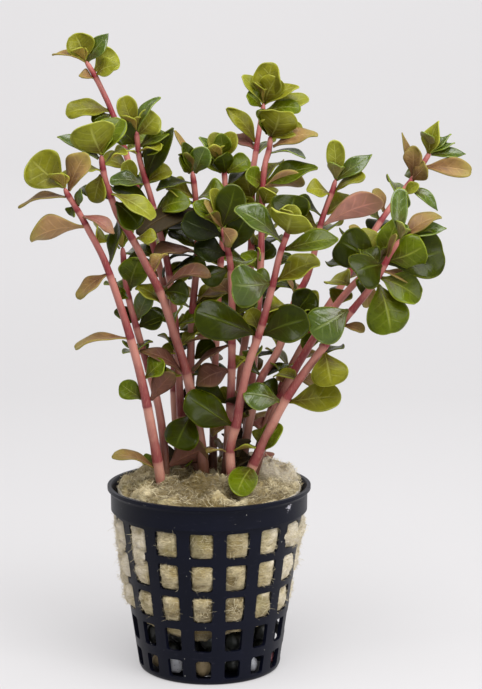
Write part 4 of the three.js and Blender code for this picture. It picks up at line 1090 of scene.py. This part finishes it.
def add_mesh(bm, part):
    mesh = bpy.data.meshes.new("part")
    part.to_mesh(mesh)
    part.free()
    bm.from_mesh(mesh)
    bpy.data.meshes.remove(mesh)


def spun(bm, profile, steps):
    """A closed ring turned from its section."""
    part = bmesh.new()
    verts = [part.verts.new((radius, 0, z)) for radius, z in profile]
    face = part.faces.new(verts)
    bmesh.ops.spin(part, geom=[*face.edges, *verts], axis=(0, 0, 1), cent=(0, 0, 0), angle=math.tau,
                   steps=steps, use_merge=True)
    bmesh.ops.delete(part, geom=[face for face in part.faces if len(face.verts) > 4], context="FACES_ONLY")
    close_up(part)
    add_mesh(bm, part)


def around(angle, radius, z):
    """A point of the pot, at an angle from the front towards the right."""
    return Vector((radius * math.sin(angle), -radius * math.cos(angle), z))


def net_pot():
    bm = new_mesh()
    levels = [FOOT_ROUND]
    for top, bottom in reversed(WINDOW_ROWS):
        levels += [bottom, top]
    levels.append(BAND_BOTTOM + OVERLAP)
    open_levels = [levels.index(bottom) for top, bottom in WINDOW_ROWS]
    pierced(
        bm, COLUMNS, levels, open_levels, cone_radius,
        lambda z: (cone_radius(z) * COLUMN_ANGLE - RIB_WIDTH) / 2, POT_WALL, WINDOW_CORNER,
        lambda angle, z, depth: around(FIRST_COLUMN + angle, cone_radius(z) - POT_WALL + depth, z),
    )
    rings = [FLOOR_MIDDLE, SLOT_INNER, SLOT_OUTER, FOOT_RADIUS - FOOT_ROUND]
    pierced(
        bm, FLOOR_SLOTS, rings, [1], lambda ring: ring, lambda ring: SLOT_WIDTH / 2, POT_WALL, FLOOR_CORNER,
        lambda angle, ring, depth: around(angle, ring, depth),
    )
    inside = cone_radius(BAND_BOTTOM) - 0.5
    lip_bottom = POT_HEIGHT - LIP_HEIGHT
    spun(bm, [
        (inside, BAND_BOTTOM), (BAND_RADIUS, BAND_BOTTOM), (BAND_RADIUS + 0.05, lip_bottom - 0.6),
        (BAND_RADIUS + 0.35, lip_bottom), (LIP_RADIUS, lip_bottom + LIP_SLOPE), (LIP_RADIUS, POT_HEIGHT),
        (LIP_RADIUS - 0.9, POT_HEIGHT), (BAND_RADIUS - POT_WALL, lip_bottom),
        (BAND_RADIUS - POT_WALL - 0.1, BAND_BOTTOM + 1),
    ], POT_STEPS)
    foot = cone_radius(FOOT_ROUND)
    spun(bm, [
        (FOOT_RADIUS - 1.4, 0), (FOOT_RADIUS - 0.7, 0), (FOOT_RADIUS - 0.2, 0.3), (foot, FOOT_ROUND),
        (foot, FOOT_ROUND + OVERLAP), (foot - POT_WALL, FOOT_ROUND + OVERLAP), (FOOT_RADIUS - 1.4, POT_WALL),
    ], POT_STEPS)
    spun(bm, FLOOR_KNOB, KNOB_STEPS)
    return bm


mesh_piece("net_pot_basket", net_pot(), [pot_plastic()], ["net_pot"], [
    ("BEVEL", {"width": 0.14 * MM, "segments": 2, "limit_method": "ANGLE", "angle_limit": math.radians(40)}),
    ("WEIGHTED_NORMAL", {"keep_sharp": True}),
])


# Stone wool

WOOL_AROUND = 192
WOOL_STEP = 0.6
WOOL_GAP = 0.3
WOOL_FOOT = 2.4
PUSH = 2
FULL_PUSH = 2.5
FULL_LEFT = -0.85
FULL_LEFT_ROWS = 3
FULL_RIGHT = 0.7
PUSH_ROUND = 0.22
HAIR_COUNT = 12000
HAIR_LENGTH = (1, 3.4)
HAIR_WIDTH = (0.04, 0.1)
HAIR_RISE = (0.05, 0.6)
PROUD_BY = 0.9
PROUD_LENGTH = (1.4, 5)
PROUD_RISE = (0.1, 1.1)
HAIR_SINK = 0.1
HAIR_WAY = (1, 1, 0.6)
HAIR_LIE = (0.55, 1)
HAIR_BEND = 0.5
HAIR_TIP = 0.4
HAIR_TONE = 0.22
HAIR_TONE_SPREAD = 0.52
TOP_TONE = 0.5
SIDE_HAIR_PAINTED_LIGHT = 0.35

# Clumps of the wool: size, seed, and how much each kind counts. Grit is finer and counts by GRIT_SHARE.
CLUMPS = [(6, 3, 0.7), (2.4, 8, 0.2)]
CLUMP_STEEPNESS = 1.6
GRIT = 1.1
GRIT_SHARE = 0.35
TOP_LUMPS = 3.4
TOP_ROLL = 2
TOP_ROLL_SIZE = 5
TOP_DEPTH = 1.3
EDGE_FADE = 3
EDGE_CALM = 0.25
HEM = 3
HEM_RAGGED = 0.9
BULGE_MIDDLE = 0.6
BULGE_FADE = 0.8
# How the wool's shade mark is set: painted light on the clumps' crowns and painted shade in their creases, on the
# top and on the wall, and painted light at the two sides. UP_PALE makes the wall darker towards the bottom
TOP_PAINTED_LIGHT = 0.75
WALL_PAINTED_LIGHT = 0.6
SIDE_PAINTED_LIGHT = 1.1
UP_PALE = 0.016
MIDDLE_Z = 23

# Swells and hollows of the top: x, y, rise and spread. The underside hangs lowest at one angle from the front.
SWELLS = [
    [-1, -11, 2.4, 26], [-11, -10, 1.5, 16], [-4.6, -5, -3.5, 6], [0, -3, -2.5, 8], [-19, -9, -1.5, 8],
    [11, -8, -1.2, 5], [3, 0, -2, 12], [7, -16.5, -1.3, 12],
]
HANG_ANGLE = math.radians(-20)
HANG_REACH = 1
HANG_FALL = 1.6

# Brown and pale patches of the top: x, y, spread, and how much paler. The pale ones are painted light, and
# the brown ones are partly stains and partly painted shade under the bush.
PATCHES_OF_STAIN_AND_LIGHT = [
    [-2, -13, 40, -0.75], [5, -15, 20, -0.2], [-17, -9, 10, -0.2], [-3, -3, 40, -0.5], [17, 6, 70, 1.4],
    [-20, -2, 30, 0.4], [15.5, -14.5, 12, -0.5],
]

# Tufts of wool outside the wall: angle from the front in degrees, height, radius from the axis, and half sizes
# around the pot, outwards and up
TUFTS = [
    [-80, 33.2, 21.2, 5.8, 1.9, 5.8], [-83, 25.6, 20.3, 5, 1.9, 5.6], [-81, 20, 19.9, 3.6, 1.5, 4],
    [-50, 32.8, 21.7, 2.5, 1.4, 5.2], [62, 36, 22.2, 3.6, 1.3, 3.2], [76, 35, 21.6, 5, 1.5, 3.8],
    [92, 32, 21.4, 4.2, 1.4, 5], [-100, 34, 21.8, 4, 1.4, 4], [110, 34, 21.8, 4, 1.4, 3.6],
]


def wool_top(x, y):
    top = WOOL_EDGE + WOOL_DOME["height"] * (1 - (x * x + y * y) / WOOL_DOME["radius"] ** 2)
    for mound in MOUNDS:
        away = (x - mound["x"]) ** 2 + (y - mound["y"]) ** 2
        top += mound["height"] * math.exp(-away / mound["spread"])
    return top


def window_bulge(angle, z):
    """How far the wool pushes out at this place of the wall: through the windows, and most at the two sides."""
    column = round((angle - FIRST_COLUMN) / COLUMN_ANGLE)
    off = angle - FIRST_COLUMN - column * COLUMN_ANGLE
    half = (cone_radius(z) * COLUMN_ANGLE - RIB_WIDTH) / 2 / cone_radius(z)
    across = max(0, math.cos(min(1, abs(off) / half) * math.pi / 2))
    sideways = math.sin(FIRST_COLUMN + column * COLUMN_ANGLE)
    for row, (top, bottom) in enumerate(WINDOW_ROWS[:4]):
        if bottom < z < top:
            up = math.sin(math.pi * (z - bottom) / (top - bottom))
            full = (sideways < FULL_LEFT and row < FULL_LEFT_ROWS) or (sideways > FULL_RIGHT and row == 0)
            return (FULL_PUSH if full else PUSH) * (across * up) ** PUSH_ROUND
    return 0


def paleness(x, y):
    """How much paler the top is at this place than elsewhere, as painted light, or how much browner, below 0,
    partly as stains and partly as painted shade.
    """
    return sum(
        pale * math.exp(-((x - at_x) ** 2 + (y - at_y) ** 2) / spread) for at_x, at_y, spread, pale in PATCHES_OF_STAIN_AND_LIGHT
    )


def clumps(point, size, seed):
    """Rounded clumps of about this size, from 0 in the creases to 1 on the crowns."""
    near = noise.voronoi(point / size + Vector((seed, 0, 0)))[0]
    return min(1, max(0, near[1] - near[0]) * CLUMP_STEEPNESS)


def wool_plug():
    bm = new_mesh("shade")

    def inside(z):
        return cone_radius(z) - POT_WALL - WOOL_GAP

    edge = inside(BAND_BOTTOM) + 0.1
    corners = [
        (0, WOOL_BOTTOM), (inside(WOOL_BOTTOM) - WOOL_FOOT, WOOL_BOTTOM),
        (inside(WOOL_BOTTOM + WOOL_FOOT), WOOL_BOTTOM + WOOL_FOOT),
        (edge, BAND_BOTTOM), (edge + 0.5, WOOL_EDGE - 1.4), (edge - 0.4, WOOL_EDGE), (0, WOOL_EDGE),
    ]
    profile = []
    for (r, z), (next_r, next_z) in zip(corners, corners[1:]):
        steps = max(1, round(math.hypot(next_r - r, next_z - z) / WOOL_STEP))
        profile += [(lerp(r, next_r, k / steps), lerp(z, next_z, k / steps)) for k in range(steps)]
    profile.append(corners[-1])
    heights = []

    def place(u, v):
        radius, z = profile[round(v * (len(profile) - 1))]
        angle = math.tau * u
        point = around(angle, radius, z)
        turned = math.remainder(angle, math.tau)
        lumps = sum(clumps(point, size, seed) * part for size, seed, part in CLUMPS)
        lumps += GRIT_SHARE * noise.noise(point / GRIT)
        if z > WOOL_EDGE - TOP_DEPTH:
            fade = min(1, (edge - radius) / EDGE_FADE + EDGE_CALM)
            point.z = wool_top(point.x, point.y) - (WOOL_EDGE - z)
            point.z += (lumps - 0.5) * TOP_LUMPS * fade + TOP_ROLL * noise.noise(point / TOP_ROLL_SIZE) * fade
            # Painted light on the crowns of the top and painted shade in its creases, with the top's patches
            heights.append(lumps * TOP_PAINTED_LIGHT + paleness(point.x, point.y))
            for x, y, rise, spread in SWELLS:
                point.z += rise * math.exp(-((point.x - x) ** 2 + (point.y - y) ** 2) / spread)
            return point
        # Painted light on the crowns and at the two sides, painted shade in the creases, and darker towards the
        # bottom
        heights.append(UP_PALE * (z - MIDDLE_Z) + lumps * WALL_PAINTED_LIGHT + SIDE_PAINTED_LIGHT * math.sin(turned) ** 2)
        if z < WOOL_BOTTOM + HEM:
            off = turned - HANG_ANGLE
            hang = max(0, math.cos(off * HANG_FALL)) if abs(off) < HANG_REACH else 0
            point.z += (WOOL_BOTTOM + HEM - z) * HEM_RAGGED * (1 - hang) - lumps * HEM_RAGGED
        else:
            push = window_bulge(turned, z)
            grown = radius + push + (lumps - BULGE_MIDDLE) * min(1, push * BULGE_FADE)
            point = around(angle, grown, z)
        return point

    layer = bm.verts.layers.float["shade"]
    for vert, height in zip(grid(bm, WOOL_AROUND, len(profile) - 1, place), heights):
        vert[layer] = height
    close_up(bm)
    return bm
TUFT_SIZE = 0.84
TUFT_CLUMPS = {"size": 3, "seed": 5}
TUFT_LUMP = 0.18
TUFT_ROUGH = [(0.8, 0.12), (4, 0.2)]
TUFT_MIDDLE = 0.8


def add_tufts(bm):
    layer = bm.verts.layers.float["shade"]
    for angle, z, radius, wide, out, high in TUFTS:
        turned = math.radians(angle)
        centre = around(turned, radius, z)
        outward = around(turned, 1, 0)
        around_way = Vector((math.cos(turned), math.sin(turned), 0))
        for vert in bmesh.ops.create_icosphere(bm, subdivisions=4, radius=1)["verts"]:
            local = vert.co.copy()
            spot = centre + around_way * local.x * wide + outward * local.y * out + Vector((0, 0, local.z * high))
            lump = TUFT_SIZE + TUFT_LUMP * clumps(spot, **TUFT_CLUMPS)
            for size, share in TUFT_ROUGH:
                lump += share * noise.noise(spot / size)
            vert.co = centre + (spot - centre) * lump
            # Painted light: the tufts that stand out of the wall are marked pale, as wool in full light
            vert[layer] = 1 + (lump - TUFT_MIDDLE)


def wool_hairs(body, count):
    """Loose fibres on the wool: one grid cut into ribbons, each of which starts at a face and curves away."""
    bm = new_mesh("shade")
    layer = bm.verts.layers.float["shade"]
    shown = [face for face in body.faces if hair_grows(face.calc_center_median())]
    columns = 2 * count - 1
    verts = bmesh.ops.create_grid(bm, x_segments=columns, y_segments=4, size=1, calc_uvs=True)["verts"]
    ribbons = [[] for _ in range(count)]
    column_of = {}
    for vert in verts:
        column_of[vert] = round((vert.co.x + 1) / 2 * columns)
        ribbons[column_of[vert] // 2].append(vert)
    gaps = [face for face in bm.faces if min(column_of[vert] for vert in face.verts) % 2]
    starts = chance.choices(shown, weights=[face.calc_area() for face in shown], k=count)
    for ribbon, face in zip(ribbons, starts):
        start = face.calc_center_median() - face.normal * HAIR_SINK
        way = Vector([chance.gauss(0, spread) for spread in HAIR_WAY])
        way = (way - face.normal * way.dot(face.normal) * chance.uniform(*HAIR_LIE)).normalized()
        bend = Vector([chance.gauss(0, 1) for _ in range(3)]) * HAIR_BEND
        on_top = start.z > WOOL_EDGE - 1
        proud = on_top or math.hypot(start.x, start.y) > cone_radius(start.z) + PROUD_BY
        length = chance.uniform(*(HAIR_LENGTH if on_top or not proud else PROUD_LENGTH))
        width = chance.uniform(*HAIR_WIDTH)
        rise = chance.uniform(*(PROUD_RISE if proud else HAIR_RISE))
        flat = way.cross(face.normal).normalized()
        tone = HAIR_TONE + HAIR_TONE_SPREAD * chance.random()
        # Painted light: the hairs at the two sides are paler, and those on the top follow its patches of stain and
        # painted light
        tone += TOP_TONE * paleness(start.x, start.y) if on_top else SIDE_HAIR_PAINTED_LIGHT * (start.x / LIP_RADIUS) ** 2
        for vert in ribbon:
            u, v = column_of[vert] % 2, (vert.co.y + 1) / 2
            arc = math.sin(math.pi * v)
            middle = start + way * (v - 0.5) * length + face.normal * arc * rise + bend * (v - 0.5) ** 2 * length
            vert.co = middle + flat * (u - 0.5) * width * (HAIR_TIP + (1 - HAIR_TIP) * arc)
            vert[layer] = tone
    bmesh.ops.delete(bm, geom=gaps, context="FACES")
    return bm


def hair_grows(point):
    reach = math.hypot(point.x, point.y)
    if point.z > WOOL_EDGE - 1:
        return True
    return WOOL_BOTTOM < point.z < BAND_BOTTOM and reach > cone_radius(point.z) - 1


body = wool_plug()
add_tufts(body)
bmesh.ops.recalc_face_normals(body, faces=body.faces)
body.normal_update()
hairs = wool_hairs(body, HAIR_COUNT)
mesh_piece("stone_wool_plug", body, [wool_fibre()], ["stone_wool"])
mesh_piece("stone_wool_hairs", hairs, [wool_hair()], ["stone_wool"])


# Pebbles, and the dark gravel that fills the foot of the pot behind them, near black so that it stands partly for
# the shade inside the pot

stones = {
    "pale": stone_face("pebble_pale", (150, 152, 160), (205, 206, 210), (110, 108, 112), 0.55),
    "tan": stone_face("pebble_tan", (120, 104, 76), (172, 152, 114), (86, 72, 50), 0.65),
    "pink": stone_face("pebble_pink", (158, 86, 96), (205, 136, 142), (120, 60, 66), 0.55),
    "dark": stone_face("pebble_dark", (8, 10, 8), (24, 28, 22), (48, 54, 44), 0.45),
}


STONE_LUMP = 0.16
STONE_LUMP_RATE = 1.3
STONE_DENT = 0.05
STONE_DENT_RATE = 4
STONE_FINE = 3


def add_stone(bm, x, y, z, a, b, c, seed, fineness):
    """A lumpy stone around x, y, z with the half sizes a, b, c."""
    for vert in bmesh.ops.create_icosphere(bm, subdivisions=fineness, radius=1)["verts"]:
        lump = 1 + STONE_LUMP * noise.noise(vert.co * STONE_LUMP_RATE + Vector((seed, 0, 0)))
        lump += STONE_DENT * noise.noise(vert.co * STONE_DENT_RATE)
        vert.co = Vector((x + vert.co.x * a * lump, y + vert.co.y * b * lump, z + vert.co.z * c * lump))


for number, (kind, *shape) in enumerate(PEBBLES, 1):
    bm = new_mesh()
    add_stone(bm, *shape, number * 7, STONE_FINE)
    mesh_piece(f"pebble_{number}_stone", bm, [stones[kind]], [f"pebble_{number}"])

# The gravel lies in layers, each with its height, its radius and its number of stones, and some stones more show
# in the windows
GRAVEL_LAYERS = [(2.8, 11.5, 22), (6.2, 11, 20), (9, 10.5, 16)]
GRAVEL_SIZE = (1.7, 2.5)
GRAVEL_FRONT = -9
GRAVEL_BACK = 1.5
LAYER_TURN = 0.3
LAYER_SEEDS = 50
SHOWN_SEED = 200
SHOWN_LOW = {"below": 4, "size": (2.2, 1.9, 1.9)}
SHOWN_SIZE = (2.2, 1.9, 2.6)
GRAVEL_FINE = 2
GOLDEN = 0.618
# Near-black stones that fill the dark gaps in the windows as painted shade
SHOWN_GRAVEL = [
    (12.5, -5.5, 10), (13.5, 0, 9), (-14, -2, 8.5), (9, -9.5, 11), (0, -10, 9), (0.7, -11.7, 2.1), (2.4, -11, 3),
    (6, -11, 3.1), (-4.5, -11.4, 3), (12.4, -6, 5.5), (-9.5, -7, 5.5),
]

gravel = new_mesh()
for layer, (height, reach, count) in enumerate(GRAVEL_LAYERS):
    for k in range(count):
        turn = math.tau * (k * GOLDEN + layer * LAYER_TURN)
        out = reach * math.sqrt((k + 0.5) / count)
        x, y = out * math.sin(turn), out * math.cos(turn) + GRAVEL_BACK
        if y < GRAVEL_FRONT:
            continue
        size = [chance.uniform(*GRAVEL_SIZE) for _ in range(3)]
        add_stone(gravel, x, y, height, *size, layer * LAYER_SEEDS + k, GRAVEL_FINE)
for k, place in enumerate(SHOWN_GRAVEL):
    size = SHOWN_LOW["size"] if place[2] < SHOWN_LOW["below"] else SHOWN_SIZE
    add_stone(gravel, *place, *size, SHOWN_SEED + k, GRAVEL_FINE)
mesh_piece("dark_gravel_and_shade", gravel, [stones["dark"]], ["pebble_8"])


# Floor, backdrop and lights

SWEEP = {"flat": 1500, "bend": 500, "wall": 1500}
SWEEP_GRID = (96, 48)
SKY_LIGHT = 0.45
LIGHTS = {
    "top_light": {"place": (0.1, -0.3, 0.9), "aim": (0, 0, 0.08), "size": 0.7, "power": 13},
    "front_light": {"place": (0.8, -0.85, 0.45), "aim": (0, 0, 0.08), "size": 0.7, "power": 7},
    "backdrop_light": {"place": (0, 0.7, 1.6), "aim": (0, 2.1, 1.3), "size": 1.6, "power": 34},
}


def studio_sweep(flat, bend, wall):
    """A pale round floor that bends up into a wall on all sides."""
    bm = new_mesh()
    turn_length = bend * math.pi / 2

    def place(u, v):
        run = v * (flat + turn_length + wall)
        if run < flat:
            reach, z = run, 0
        elif run < flat + turn_length:
            turn = (run - flat) / bend
            reach, z = flat + bend * math.sin(turn), bend * (1 - math.cos(turn))
        else:
            reach, z = flat + bend, bend + run - flat - turn_length
        return around(math.tau * u, reach, z)

    grid(bm, *SWEEP_GRID, place)
    close_up(bm, 0.01)
    bmesh.ops.reverse_faces(bm, faces=bm.faces)
    finish = Finish("studio_sweep", **{"Roughness": 0.9, "Emission Strength": 0.41})
    cloud = finish.mix(finish.noise(400, 1.0), (134, 133, 134), (138, 137, 138))
    mesh_object("studio_sweep", bm, [finish.paint(Base_Color=cloud, Emission_Color=tint(252, 250, 251))])


def soft_light(name, place, aim, size, power):
    lamp = bpy.data.lights.new(name, "AREA")
    lamp.shape = "SQUARE"
    lamp.size = size
    lamp.energy = power
    light = put(name, lamp)
    light.location = place
    light.rotation_euler = (Vector(aim) - Vector(place)).to_track_quat("-Z", "Y").to_euler()


studio_sweep(**SWEEP)
for name, light in LIGHTS.items():
    soft_light(name, **light)
world = bpy.data.worlds.new("studio")
world.use_nodes = True
sky = world.node_tree.nodes["Background"].inputs
sky["Color"].default_value = (1, 1, 1, 1)
sky["Strength"].default_value = SKY_LIGHT
bpy.context.scene.world = world
bpy.context.scene.view_settings.view_transform = "Standard"
